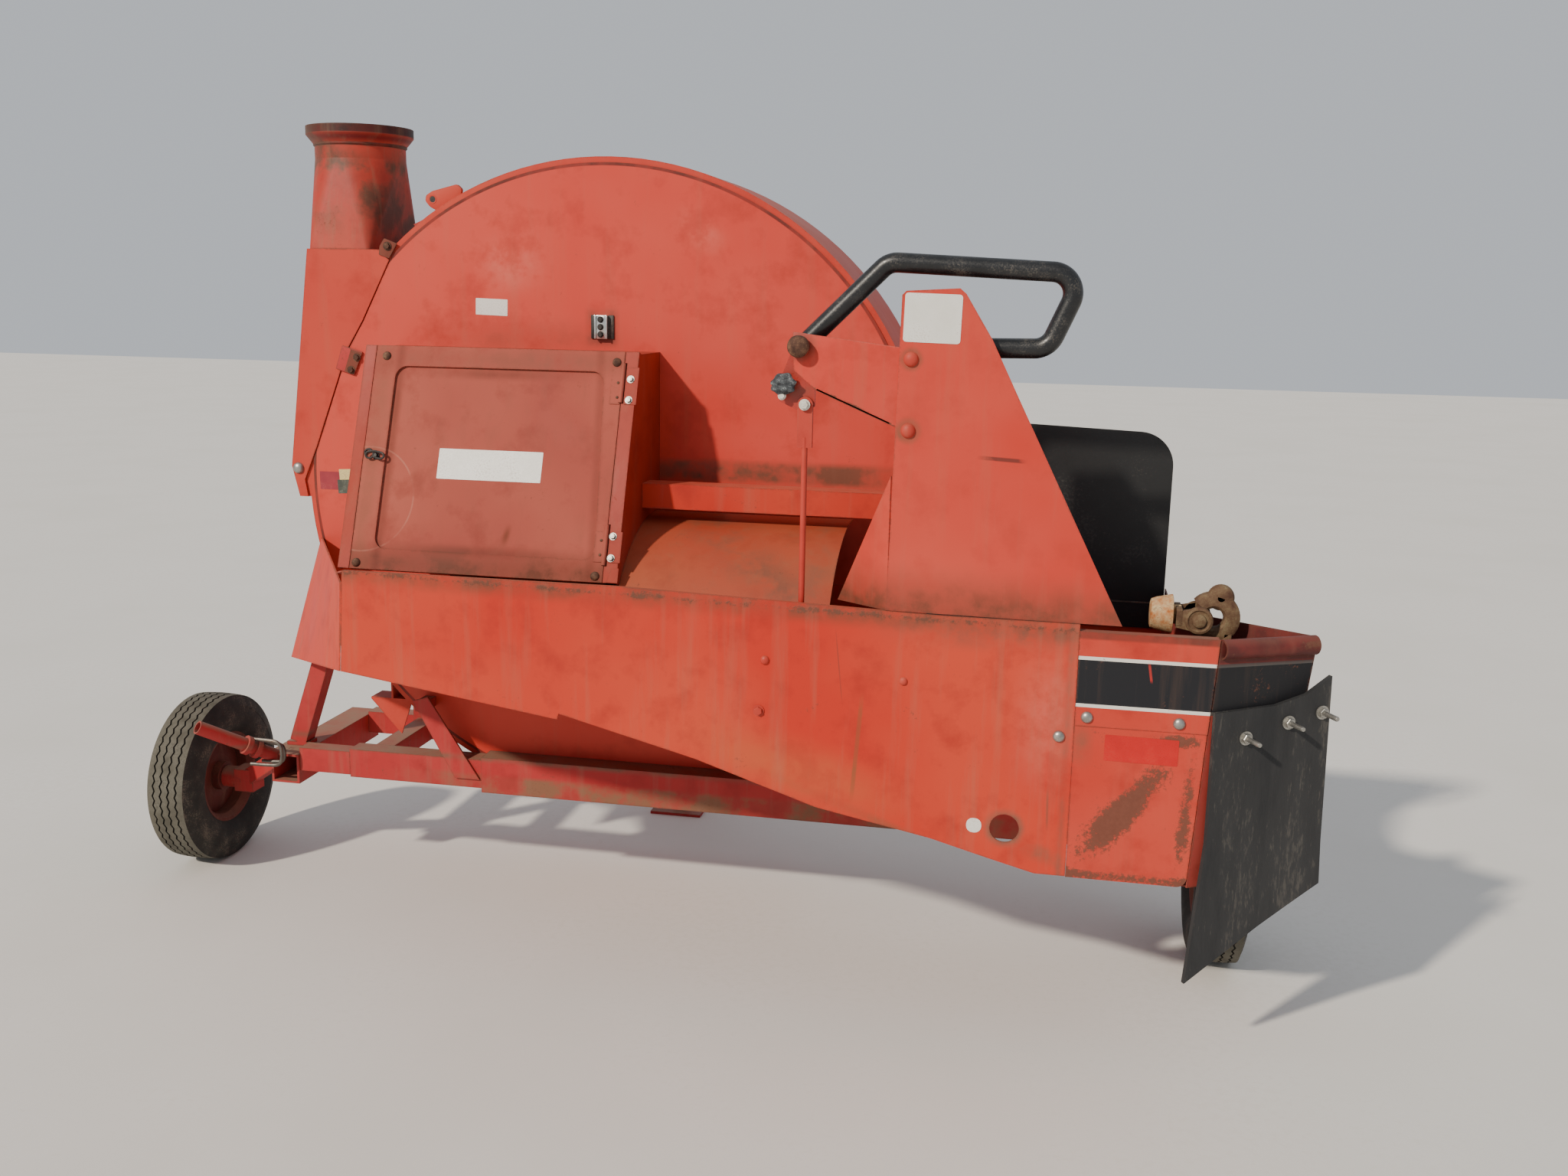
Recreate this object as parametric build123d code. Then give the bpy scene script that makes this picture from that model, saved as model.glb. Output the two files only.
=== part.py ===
from build123d import *
import math
import os

# Forage blower: a paddle fan on a frame, fed by an auger trough along its front.
# X runs along the trough, Y runs from the trough side to the tractor side, Z is up from the ground.
# Sizes are in millimetres.

# place of the fan axis and of the fan's front face in the part's own frame
fan_x = -200.5
face_y = -223.9

# fan housing
fan_r = 765.0
fan_z = 1040.0
housing_depth = 280.0
housing_wall = 5.0
band_wall = 6.0
back_wall = 6.0
ring_width = 34.0
ring_lip = 13.0
ring_thick = 5.0
face_thick = 3.5
plate_gap = 0.3

# discharge duct and spout
duct_proud = 44.0
duct_width = 159.0
duct_lean = 67.0
duct_front_thick = 6.0
face_slot = 3.0
gusset_top_z = 484.0
gusset_thick = 5.0
gusset_in = 140.0
gusset_wide = 110.0
duct_low_z = 1069.0
duct_tip_z = 994.0
duct_tip_in = 18.0
duct_square_rise = 56.7
duct_round_rise = 213.0
pipe_od = 215.0
pipe_wall = 3.0
pipe_rise = 35.0
pipe_shift = 5.5
spout_corner = 12.0
spout_flat = 3.0
rim_flare = 22.0
rim_od = 254.0
rim_rise = 20.0

# rotor
rotor_tip_gap = 14.0
rotor_side_gap = 18.0
paddle_count = 6
paddle_thick = 8.0
paddle_foot_r = 70.0
hub_r = 85.0
rotor_disc_r = 300.0
rotor_disc_thick = 8.0
shaft_od = 45.0
shaft_front = 60.0
shaft_rear = 170.0
bearing_od = 120.0
bearing_len = 50.0
post_half = 60.0
shaft_play = 0.05
input_od = 34.9
input_len = 76.0

# feed opening in the fan face and the box with the sloping door
inlet_left = 380.0
inlet_right = 60.0
inlet_low_z = 800.0
inlet_high_z = 1240.0
box_left = 515.0
box_right = 133.0
box_top_z = 1370.0
box_low_z = 885.0
box_top_out = 150.0
box_low_out = 326.0
box_wall = 3.0
door_thick = 16.0
door_gap = 1.0
door_pin_r = 6.0
door_pin_play = 0.05
door_skin = 3.0
door_left = 487.0
door_right = 101.0
door_slot = 1.5
knuckle_r = 5.0
hinge_long = 89.0
hinge_places = (-72.0, -434.0)
emboss_left = 435.0
emboss_right_top = 57.0
emboss_right_low = 80.0
emboss_top = 47.0
emboss_low = 469.0
emboss_corner = 28.0
emboss_deep = 6.0

# trough
front_out = 500.0
skirt_thick = 3.0
skirt_left = 420.0
skirt_seam = 1110.0
skirt_top_z = 897.0
skirt_left_top_z = 917.0
ledge_drop = 10.0
left_low_z = 578.0
skirt_left_low_z = 697.0
skirt_step_x = 57.0
skirt_step_z = 627.0
skirt_step_rise = 13.0
skirt_right_low_z = 385.0
skirt_lip = 12.0
hole_x = 986.0
hole_z = 474.0
hole_d = 58.0
trough_r = 125.0
trough_mid = 262.0
trough_left_x = -385.0
trough_right_x = 1262.0
trough_left_z = 766.0
trough_right_z = 522.0
trough_wing = 95.0
auger_r = 112.0
auger_tube_r = 32.0
auger_wall = 5.0
flight_steps = 10
auger_shaft_r = 20.0
auger_end_play = 3.0
end_plate_thick = 8.0
auger_pitch = 240.0
flight_thick = 5.0

# end box at the right
end_x = 1370.0
end_low_x = 1341.0
nose_x = 1560.0
nose_low_x = 1510.0
nose_out = 406.0
far_x = 1300.0
far_out = 230.0
end_top_z = 884.0
end_low_z = 384.0
end_lip = 22.0
end_corner = 20.0
band_low_z = 697.0
lap_in = 1.5
roll_r = 19.0
back_top_z = 848.0
cover_top_z = 1006.0

# tower and black sheet
tower_left = 735.0
tower_top_left = 746.0
tower_top_right = 858.0
tower_top_z = 1516.0
tower_knee_x = 972.0
tower_knee_z = 1322.0
tower_right = 1188.0
tower_thick = 3.0
side_top_z = 1166.0
side_low_x = 627.0
side_back = 76.0
sheet_left = 770.0
sheet_right = 1296.0
sheet_top_z = 1244.0
sheet_low_z = 790.0
sheet_corner = 75.0

# feed stop bar, its bracket and its link
bar_out = 449.0
lever_low_z = 1296.0
lever_wide = 34.0
lever_thick = 8.0
link_pin_r = 6.0
bar_od = 38.0
bar_wall = 4.0
bar_bend = 40.0
bar_swing_x = 552.0
bar_swing_z = 1408.0
bar_pin_r = 12.0
bracket_thick = 6.0
bracket_fold = 30.0
link_x = 562.0
link_thick = 10.0
link_plate_high = 84.0
link_out = 474.0
link_rod_r = 6.0
link_low_z = 800.0

# shaft tunnel, gearbox and auger driveline
tunnel_out = 150.0
tunnel_z = 1056.0
tunnel_high = 56.0
tunnel_deep = 60.0
tunnel_right = 690.0
gear_size = 120.0
joint_x = 1345.0
joint_out = 350.0
joint_z = 897.0
yoke_r = 24.0
yoke_thick = 14.0
cross_pin_r = 9.0
collar_r = 30.0

# lower frame
rail_wall = 6.0
rail_high = 90.0
rail_wide = 60.0
rail_top_z = 374.0
rail_left = 660.0
rail_left_high = 73.0
rail_split = 306.0
brace_thick = 6.0
post_size = 44.0
rail_right = 1290.0
rear_rail_gap = 24.0
beam_x = 836.0
beam_size = 76.0
beam_top_z = 340.0
clamp_r = 17.0
cross_x = 560.0
cross_size = 50.0

# wheels
tyre_od = 440.0
tyre_w = 124.0
rim_d = 232.0
wheel_left_x = 1120.0
wheel_left_y = 60.0
wheel_right_x = 1463.0
wheel_right_y = 55.0
axle_d = 32.0
axle_play = 0.05
hub_d = 76.0
hub_len = 70.0

# hitch and jack
hitch_y = 960.0
hitch_z = 330.0
hitch_pin_d = 26.0
hitch_half = 430.0
hitch_head_half = 45.0
hitch_head_long = 120.0
hitch_tube = 50.0
jack_x = 0.0
jack_y = 700.0
jack_od = 60.0
jack_leg = 48.0
jack_travel = 200.0
jack_play = 1.0
jack_foot = 150.0
jack_leg_up = 90.0

# rubber flap
flap_thick = 10.0
flap_wide = 238.0
flap_bend_z = 480.0
flap_top_z = 738.0
flap_low_z = 192.0
flap_seat = 1.45


def box(x0, x1, y0, y1, z0, z1):
    return Pos((x0 + x1) / 2, (y0 + y1) / 2, (z0 + z1) / 2) * Box(x1 - x0, y1 - y0, z1 - z0)


def prism_xz(points, y0, y1):
    """Solid with a polygon outline in X and Z, between two depths."""
    face = make_face(Polyline([(p[0], y0, p[1]) for p in points], close=True))
    return extrude(face, amount=y1 - y0, dir=(0, 1, 0))


def prism_xy(points, z0, z1):
    face = make_face(Polyline([(p[0], p[1], z0) for p in points], close=True))
    return extrude(face, amount=z1 - z0, dir=(0, 0, 1))


def rod_y(x, z, r, y0, y1):
    return Location((x, y0, z), (-90, 0, 0)) * Cylinder(
        r, y1 - y0, align=(Align.CENTER, Align.CENTER, Align.MIN))


def rod_x(y, z, r, x0, x1):
    return Location((x0, y, z), (0, 90, 0)) * Cylinder(
        r, x1 - x0, align=(Align.CENTER, Align.CENTER, Align.MIN))


def rod_z(x, y, r, z0, z1):
    return Pos(x, y, z0) * Cylinder(r, z1 - z0, align=(Align.CENTER, Align.CENTER, Align.MIN))


def bar_between(a, b, wide, high, up=(0, 0, 1)):
    """Rectangular bar whose axis runs from a to b."""
    start = Vector(*a)
    axis = Vector(*b) - start
    side = axis.cross(Vector(*up)).normalized()
    plane = Plane(origin=start, x_dir=side, z_dir=axis.normalized())
    return plane * Box(wide, high, axis.length, align=(Align.CENTER, Align.CENTER, Align.MIN))


def rod_between(a, b, r):
    start = Vector(*a)
    axis = Vector(*b) - start
    plane = Plane(origin=start, z_dir=axis.normalized())
    return plane * Cylinder(r, axis.length, align=(Align.CENTER, Align.CENTER, Align.MIN))


def disc_y(x, z, r, y0, y1):
    return rod_y(x, z, r, y0, y1)


# derived places
back_out = face_thick + 2 * plate_gap + skirt_thick
rail_front_out = rail_wide + face_thick + 2 * plate_gap
duct_left = fan_r + duct_proud
duct_top_left = duct_left - duct_lean
duct_in = duct_top_left - duct_width
duct_square_z = fan_z + math.sqrt(fan_r ** 2 - duct_in ** 2) + duct_square_rise
duct_round_z = duct_square_z + duct_round_rise
pipe_top_z = duct_round_z + pipe_rise
rim_low_z = pipe_top_z + rim_flare
rim_top_z = rim_low_z + rim_rise
duct_mid = -(duct_top_left - duct_width / 2)
pipe_mid = duct_mid - pipe_shift
duct_y = housing_depth / 2
wall_top_z = end_top_z - 3
shaft_z = fan_z
slope_door = math.atan2(box_low_out - box_top_out, box_top_z - box_low_z)


def make_fan_housing():
    deep = housing_depth
    outer = disc_y(0, fan_z, fan_r, 0, deep) + prism_xz(duct_outline(0), 0, deep)
    inner = disc_y(0, fan_z, fan_r - band_wall, housing_wall, deep - back_wall)
    inner += prism_xz(duct_outline(housing_wall), housing_wall, deep - back_wall)
    outer += make_duct_front() + make_drum_web()
    body = outer - inner
    body -= disc_y(0, fan_z, fan_r - ring_width, -0.1, ring_thick + 1) - duct_front_keep()
    body -= box(-duct_top_left + housing_wall, -duct_in - housing_wall,
                housing_wall, deep - back_wall, duct_square_z - housing_wall - 1, duct_square_z + 1)
    body -= rod_y(0, shaft_z, bearing_od / 2, deep - back_wall - 1, deep + 1)
    return body


def make_face_plate():
    plate = disc_y(0, fan_z, fan_r - ring_lip, -face_thick - plate_gap, -plate_gap)
    plate -= box(-inlet_left, inlet_right, -face_thick - 2, 2, inlet_low_z, inlet_high_z)
    edge = gap_line()
    plate -= prism_xz([(edge[-1][0] - 20, edge[-1][1] - 120)] + edge[::-1]
                      + [(edge[0][0] + 60, edge[0][1] + 110), (-2000, 2000), (-2000, 900)],
                      -face_thick - 2, 2)
    return plate


def make_spout():
    """Round pipe on a square foot: flat triangles at the sides and cone corners between them."""
    def square(inset, z):
        w = duct_width / 2 - inset
        d = housing_depth / 2 - inset
        return spout_wire(w, d, spout_corner, z)

    def circle(r, z):
        return spout_wire(r, r, 0, z)

    z0 = duct_square_z + plate_gap
    shift = (pipe_mid - duct_mid, 0)
    outer = Solid.make_loft([square(0, z0), moved(circle(pipe_od / 2, duct_round_z), shift)], True)
    inner = Solid.make_loft([square(pipe_wall, z0),
                             moved(circle(pipe_od / 2 - pipe_wall, duct_round_z), shift)], True)
    shell = Pos(duct_mid, duct_y, 0) * (outer - inner)
    r = pipe_od / 2
    lip = rim_od / 2
    neck = revolve(Plane.XZ * make_face(Polyline([
        (r - pipe_wall, duct_round_z), (r, duct_round_z), (r, pipe_top_z - 5), (r + 3, pipe_top_z - 2),
        (r + 3, pipe_top_z + 2), (lip, rim_low_z), (lip, rim_top_z), (lip - 5, rim_top_z),
        (lip - 5, rim_low_z + 3), (r - pipe_wall, pipe_top_z)], close=True)), Axis.Z)
    return shell + Pos(pipe_mid, duct_y, 0) * neck


def make_fan_rotor():
    y0 = housing_wall + rotor_side_gap
    y1 = housing_depth - back_wall - rotor_side_gap
    tip = fan_r - band_wall - rotor_tip_gap
    body = disc_y(0, shaft_z, hub_r, y0, y1)
    body += disc_y(0, shaft_z, rotor_disc_r, y1 - rotor_disc_thick, y1)
    for i in range(paddle_count):
        blade = box(paddle_foot_r, tip, y0, y1, -paddle_thick / 2, paddle_thick / 2)
        body += Pos(0, 0, shaft_z) * Rot(0, 360 / paddle_count * i, 0) * blade
    body -= rod_y(0, shaft_z, shaft_od / 2, y0 - 1, y1 + 1)
    return body


def make_fan_shaft():
    y1 = housing_depth + shaft_rear
    shaft = rod_y(0, shaft_z, shaft_od / 2, -shaft_front, y1 - input_len)
    shaft += rod_y(0, shaft_z, input_od / 2, y1 - input_len, y1)
    return shaft


def make_rear_bearing():
    """Flanged bearing on the drum's back, on a plate that stands on the rear rail."""
    y0 = housing_depth - back_wall
    y1 = housing_depth + bearing_len
    body = rod_y(0, shaft_z, bearing_od / 2 - plate_gap, y0, y1)
    back = housing_depth + plate_gap
    body += disc_y(0, shaft_z, bearing_od / 2 + 40, back, housing_depth + 12)
    body += box(-post_half, post_half, back, rear_rail_y() - plate_gap, rail_top_z - rail_high, shaft_z)
    body -= rod_y(0, shaft_z, shaft_od / 2 + shaft_play, y0 - 1, y1 + 1)
    return body


def make_inlet_box():
    """Open box under the sloping door, with the folded strips that frame the door."""
    y_face = -face_thick - 2 * plate_gap
    pts = [(-box_left, y_face, box_top_z), (-box_left, -box_top_out, box_top_z),
           (-box_left, -box_low_out, box_low_z), (-box_left, y_face, box_low_z)]
    outer = extrude(make_face(Polyline(pts, close=True)), amount=box_left + box_right, dir=(1, 0, 0))
    cut = [(-box_left + box_wall, y_face + 5, box_top_z - box_wall),
           (-box_left + box_wall, -box_low_out - 300, box_top_z - box_wall),
           (-box_left + box_wall, -box_low_out - 300, box_low_z - 200),
           (-box_left + box_wall, y_face + 5, box_low_z - 200)]
    inner = extrude(make_face(Polyline(cut, close=True)),
                    amount=box_left + box_right - 2 * box_wall, dir=(1, 0, 0))
    high = door_high()
    t = box_wall
    right_x = box_right - door_right
    left_x = -box_left - door_right
    left_end = -door_left - door_right - door_slot
    frame = box(door_slot, right_x, -door_thick, -door_thick + t, -high, 0)
    frame += box(right_x - t, right_x, -door_thick, door_gap, -high, 0)
    frame += box(left_x, left_end, -door_thick, -door_thick + t, -high, 0)
    frame += box(left_x, left_x + t, -door_thick, door_gap, -high, 0)
    for z in hinge_places:
        frame -= Pos(0, -door_thick, z) * Cylinder(knuckle_r + 2, hinge_long + 3)
    return outer - inner + door_place() * frame


def make_inlet_door():
    """Pressed door with a sunken middle and two hinge knuckles along its right edge."""
    high = door_high()
    wide = door_right + door_left
    door = Box(wide, door_thick, high, align=(Align.MAX, Align.MAX, Align.MAX))
    door -= Pos(-12, 1, -12) * Box(wide - 24, door_thick - door_skin + 1, high - 24,
                                   align=(Align.MAX, Align.MAX, Align.MAX))
    pan = make_face(Polyline([(emboss_right_top - door_right, -emboss_top), (emboss_right_low - door_right, -emboss_low),
                              (-emboss_left - door_right, -emboss_low), (-emboss_left - door_right, -emboss_top)],
                             close=True))
    pan = fillet(pan.vertices(), emboss_corner)
    back = offset(pan, door_skin)
    sunk = Plane(origin=(0, -door_thick, 0), x_dir=(1, 0, 0), z_dir=(0, -1, 0))
    door += extrude(sunk * back, amount=door_skin + emboss_deep, dir=(0, 1, 0))
    door -= extrude(sunk * pan, amount=emboss_deep, dir=(0, 1, 0))
    for z in hinge_places:
        door += Pos(0, -door_thick, z) * Cylinder(knuckle_r, hinge_long)
    return door_place() * door


def make_left_sheet():
    """End wall of the trough between the skirt and the fan housing."""
    ax = -skirt_left - plate_gap
    bx = -fan_r + 23
    z_top = skirt_left_top_z - 25
    back = [(bx - 99, left_low_z), (bx - 95, left_low_z), (bx + 4, z_top), (bx, z_top)]
    front = [(ax - 16, skirt_left_low_z), (ax - 12, skirt_left_low_z), (ax - 1.5, z_top), (ax - 5.5, z_top)]
    return loft([Plane.XZ.offset(plate_gap) * make_face(Polyline(back, close=True)),
                 Plane.XZ.offset(front_out) * make_face(Polyline(front, close=True))])


def make_front_skirt():
    """Front sheet of the trough with its slanting foot, folded top edge and the ledge below the door."""
    y0 = -front_out
    y1 = y0 + skirt_thick
    top = skirt_top()
    seam = skirt_seam - plate_gap
    pts = top + [(seam, skirt_right_low_z), (1049, skirt_right_low_z), (950, 410), (841, 439), (605, 484),
                 (351, 566), (skirt_step_x, skirt_step_z + skirt_step_rise), (skirt_step_x - 3, skirt_step_z),
                 (-skirt_left - 12, skirt_left_low_z)]
    skirt = prism_xz(pts, y0, y1)
    lip = prism_xz(top + [(x, z - skirt_thick) for x, z in top[::-1]], y0, y0 + skirt_lip)
    z_in = box_low_z - ledge_drop
    y_in = -box_low_out
    ledge = [(-box_left - 60, y0, skirt_left_top_z), (-box_left - 60, y_in, z_in),
             (-box_left - 60, y_in, z_in - skirt_thick), (-box_left - 60, y0, skirt_left_top_z - skirt_thick)]
    ledge = extrude(make_face(Polyline(ledge, close=True)), amount=box_left + 60 + box_right, dir=(1, 0, 0))
    run = (fan_r - 23 - skirt_left) / front_out
    ledge -= prism_xy([(-skirt_left, y0 - 1), (-skirt_left - (y_in + 2 - y0) * run, y_in + 2),
                       (-2000, y_in + 2), (-2000, y0 - 1)], 0, 2000)
    skirt = skirt + lip + ledge
    skirt -= rod_y(hole_x, hole_z, hole_d / 2, y0 - 1, y1 + 1)
    return skirt


def make_end_panel():
    """End panel whose upper band laps a lower sheet with a rounded corner."""
    y0 = -front_out
    x0 = skirt_seam + plate_gap
    at = end_low_x + (end_x - end_low_x) * (band_low_z - end_low_z) / (end_top_z - end_low_z)
    front = y0 - lap_in
    band = prism_xz([(x0, end_top_z), (end_x, end_top_z), (at, band_low_z), (x0, band_low_z)],
                    front, front + skirt_thick)
    r = end_corner
    low = make_face(Polyline([(x0, y0, band_low_z + 8), (at, y0, band_low_z + 8),
                              (end_low_x, y0, end_low_z), (x0, y0, end_low_z)], close=True))
    corner = [v for v in low.vertices() if v.X > x0 + 50 and v.Z < end_low_z + 5]
    low = extrude(fillet(corner, r), amount=skirt_thick, dir=(0, 1, 0))
    panel = band + low
    panel += box(x0, end_x - 2, front, y0 + end_lip, end_top_z - skirt_thick, end_top_z)
    return panel


def strip_outline(points, thick):
    """Closed outline of a bent sheet: the points, and the same points set in by its thickness."""
    inner = []
    count = len(points)
    for i, p in enumerate(points):
        a = Vector(*points[max(i - 1, 0)]) if i > 0 else Vector(*p)
        b = Vector(*p)
        c = Vector(*points[min(i + 1, count - 1)])
        d1 = (b - a).normalized() if i > 0 else (c - b).normalized()
        d2 = (c - b).normalized() if i < count - 1 else d1
        n1 = Vector(-d1.Y, d1.X)
        n2 = Vector(-d2.Y, d2.X)
        m = (n1 + n2).normalized()
        inner.append(b + m * (thick / m.dot(n1)))
    return [tuple(p) for p in points] + [(q.X, q.Y) for q in reversed(inner)]


def bent_wall(low, top, z0, z1, thick):
    """Bent upright sheet whose foot follows one path and whose top edge follows another."""
    def face(points, z):
        outline = strip_outline(points, thick)
        return make_face(Polyline([(p[0], p[1], z) for p in outline], close=True))
    return loft([face(low, z0), face(top, z1)], ruled=True)


def nose_path(low):
    gap = 2.0
    ex = end_low_x if low else end_x
    nx = nose_low_x if low else nose_x
    return [(ex + gap, -front_out), (nx, -nose_out), (far_x, -far_out), (far_x, -back_out - plate_gap)]


def make_nose_wall():
    """Angled end wall of the box, with its floor and the rolled top edge of its front part."""
    t = skirt_thick
    walls = bent_wall(nose_path(True), nose_path(False), end_low_z, wall_top_z, t)
    path = nose_path(True)
    floor = prism_xy([(skirt_seam + 40, -front_out + 6), (path[0][0] - 2, path[0][1] + 6),
                      (path[1][0] - 7, path[1][1] + 1), (path[2][0] - 1, path[2][1] + 1),
                      (path[3][0] - 1, path[3][1]), (skirt_seam + 40, path[3][1])],
                     end_low_z, end_low_z + t)
    a = Vector(*nose_path(False)[0], end_top_z - roll_r - 1)
    b = Vector(*nose_path(False)[1], end_top_z - roll_r - 1)
    along = (b - a).normalized()
    inward = Vector(-along.Y, along.X) * 4
    a = a + along * 4 + inward
    b = b - along * 3 + inward
    roll = rod_between(tuple(a), tuple(b), roll_r)
    roll -= rod_between(tuple(a - along), tuple(b + along), roll_r - t)
    return walls + floor + roll


def trough_plane():
    dx = trough_right_x - trough_left_x
    dz = trough_right_z - trough_left_z
    axis = Vector(dx, 0, dz).normalized()
    return Plane(origin=(trough_left_x, -trough_mid, trough_left_z), x_dir=(0, 1, 0), z_dir=axis)


def trough_section():
    t = skirt_thick
    r = trough_r
    half_f = front_out - skirt_thick - trough_mid - plate_gap
    half_b = trough_mid - back_out - plate_gap
    wing = trough_wing
    return t, r, half_f, half_b, wing


def make_trough():
    """Pan under the auger, with the half-round end plates that carry the auger's journals."""
    t, r, half_f, half_b, wing = trough_section()
    plane = trough_plane()
    length = trough_length()
    # section: x is Y of the part, y is down along the plane's own second axis
    up = -1 if plane.y_dir.Z < 0 else 1
    line = [
        Polyline((-half_f, up * wing), (-r, 0)),
        ThreePointArc((-r, 0), (0, -up * r), (r, 0)),
        Polyline((r, 0), (half_b, up * wing)),
        Polyline((half_b, up * wing), (half_b - t, up * (wing + 1)), (r - t, up * 1.0)),
        ThreePointArc((r - t, up * 1.0), (0, -up * (r - t)), (-(r - t), up * 1.0)),
        Polyline((-(r - t), up * 1.0), (-half_f + t, up * (wing + 1)), (-half_f, up * wing))]
    face = make_face(line[0] + line[1] + line[2] + line[3] + line[4] + line[5])
    pan = extrude(plane * face, amount=length, dir=plane.z_dir)
    return pan + make_trough_end(0) + make_trough_end(length - end_plate_thick)


def trough_length():
    return math.hypot(trough_right_x - trough_left_x, trough_right_z - trough_left_z)


def make_trough_end(at):
    """Half-round plate that closes one end of the pan and carries the auger's journal."""
    r = trough_r - skirt_thick / 2
    plane = trough_plane()
    up = -1 if plane.y_dir.Z < 0 else 1
    plate = Pos(0, 0, at) * Cylinder(r, end_plate_thick, align=(Align.CENTER, Align.CENTER, Align.MIN))
    plate -= Pos(0, up * (r / 2 + 45), at) * Box(4 * r, r, 4 * end_plate_thick)
    plate -= Cylinder(auger_shaft_r + shaft_play, 9000)
    return plane * plate


def make_auger():
    """Tube with journals and one helical flight, lofted through its thin radial sections."""
    plane = trough_plane()
    length = trough_length()
    first = end_plate_thick + auger_end_play
    last = length - end_plate_thick - auger_end_play
    up = (Align.CENTER, Align.CENTER, Align.MIN)
    body = Pos(0, 0, first) * Cylinder(auger_tube_r, last - first, align=up)
    body -= Pos(0, 0, first + 10) * Cylinder(auger_tube_r - auger_wall, last - first - 20, align=up)
    body += Cylinder(auger_shaft_r, first + 20, align=up)
    body += Pos(0, 0, last - 20) * Cylinder(auger_shaft_r, length - last + 20, align=up)
    root = auger_tube_r - auger_wall / 2
    strip = Pos((root + auger_r) / 2, 0, 0) * Rectangle(auger_r - root, flight_thick)
    count = int((last - first - 60) / auger_pitch * flight_steps)
    sections = []
    for i in range(count + 1):
        a = 2 * math.pi * i / flight_steps
        at = Plane(origin=(0, 0, first + 30 + auger_pitch * i / flight_steps),
                   x_dir=(math.cos(a), math.sin(a), 0), z_dir=(-math.sin(a), math.cos(a), 0))
        sections.append(at * strip)
    return plane * (body + loft(sections, ruled=True))


def make_back_sheet():
    x0 = fan_edge_x()
    return prism_xz([(x0, back_top_z), (far_x - 2, back_top_z), (far_x - 2, end_low_z + 5),
                     (x0 + 60, end_low_z + 90)], -back_out, -back_out + skirt_thick)


def fan_edge_x():
    return box_right + 30


def make_auger_cover():
    """Curved sheet over the auger beside the door box."""
    t = skirt_thick
    y0 = -(face_thick + 26)
    mid = (0, -170, cover_top_z - 21)
    low = (0, -340, cover_top_z - 144)
    arc = ThreePointArc((0, y0, cover_top_z), mid, low)
    inner = ThreePointArc((0, y0, cover_top_z - t), (0, mid[1] + 1, mid[2] - t), (0, low[1] + 2, low[2] - t + 1))
    face = make_face(arc + Line(low, (0, low[1] + 2, low[2] - t + 1)) + inner
                     + Line((0, y0, cover_top_z - t), (0, y0, cover_top_z)))
    return Pos(box_right + plate_gap, 0, 0) * extrude(face, amount=side_low_x - box_right - 30, dir=(1, 0, 0))


def make_tower_panel():
    """Tall panel beside the hopper, with the side sheet that bends back from its left edge."""
    y0 = tower_y()
    low_l = skirt_edge_z(tower_left - 14) + plate_gap
    low_r = skirt_edge_z(tower_right) + plate_gap
    top = tower_top_z
    pts = [(tower_left, low_l), (tower_top_left, top - 8), (tower_top_left + 8, top),
           (tower_top_right - 4, top + 6), (tower_top_right + 8, top - 4),
           ((tower_top_right + tower_knee_x) / 2 + 3, (top + tower_knee_z) / 2 + 10),
           (tower_knee_x, tower_knee_z), (tower_right, low_r)]
    panel = prism_xz(pts, y0, y0 + tower_thick)
    a = Vector(tower_left + 1, y0, side_top_z)
    b = Vector(tower_left + 1, y0, low_l)
    c = Vector(side_low_x, y0 + side_back, low_l)
    across = (b - a).cross(c - a).normalized()
    sheet = extrude(make_face(Polyline([tuple(a), tuple(b), tuple(c)], close=True)),
                    amount=tower_thick, dir=tuple(across))
    return panel + sheet


def make_black_sheet():
    y0 = -back_out - skirt_thick - plate_gap
    pts = [(sheet_left, y0, sheet_top_z), (sheet_right, y0, sheet_top_z - 20),
           (sheet_right, y0, sheet_low_z), (sheet_left, y0, sheet_low_z)]
    face = make_face(Polyline(pts, close=True))
    corner = [v for v in face.vertices() if v.X > sheet_right - 1 and v.Z > sheet_top_z - 30]
    return extrude(fillet(corner, sheet_corner), amount=skirt_thick, dir=(0, 1, 0))


def bracket_y():
    return tower_y() + tower_thick + plate_gap


def make_bracket():
    """Arm plate behind the tower panel that carries the bar's pin, with its folded lower edge."""
    y0 = bracket_y()
    x1 = tower_left + 60
    t = bracket_thick
    left = bar_swing_x - 16
    top = bar_swing_z + 28
    low = top - 83
    fall = (top - 191 - low) / (x1 - left - 3)
    plate = prism_xz([(left, top), (x1, top - 36), (x1, top - 191), (left + 3, low)], y0, y0 + t)
    xf = left + 68
    zf = low + fall * (xf - left - 3)
    fold = prism_xz([(xf, zf), (x1, top - 191), (x1, top - 191 + t), (xf, zf + t)], y0, y0 + bracket_fold)
    rib = prism_xz([(xf + 8, zf + 1), (x1, top - 188), (x1, top - 256), (left + 197, top - 256),
                    (left + 171, top - 233), (xf + 8, zf - 18)], y0 + bracket_fold - t, y0 + bracket_fold)
    plate = plate + fold + rib
    plate -= rod_y(bar_swing_x, bar_swing_z, bar_pin_r + door_pin_play, y0 - 1, y0 + t + 1)
    return plate


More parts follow.
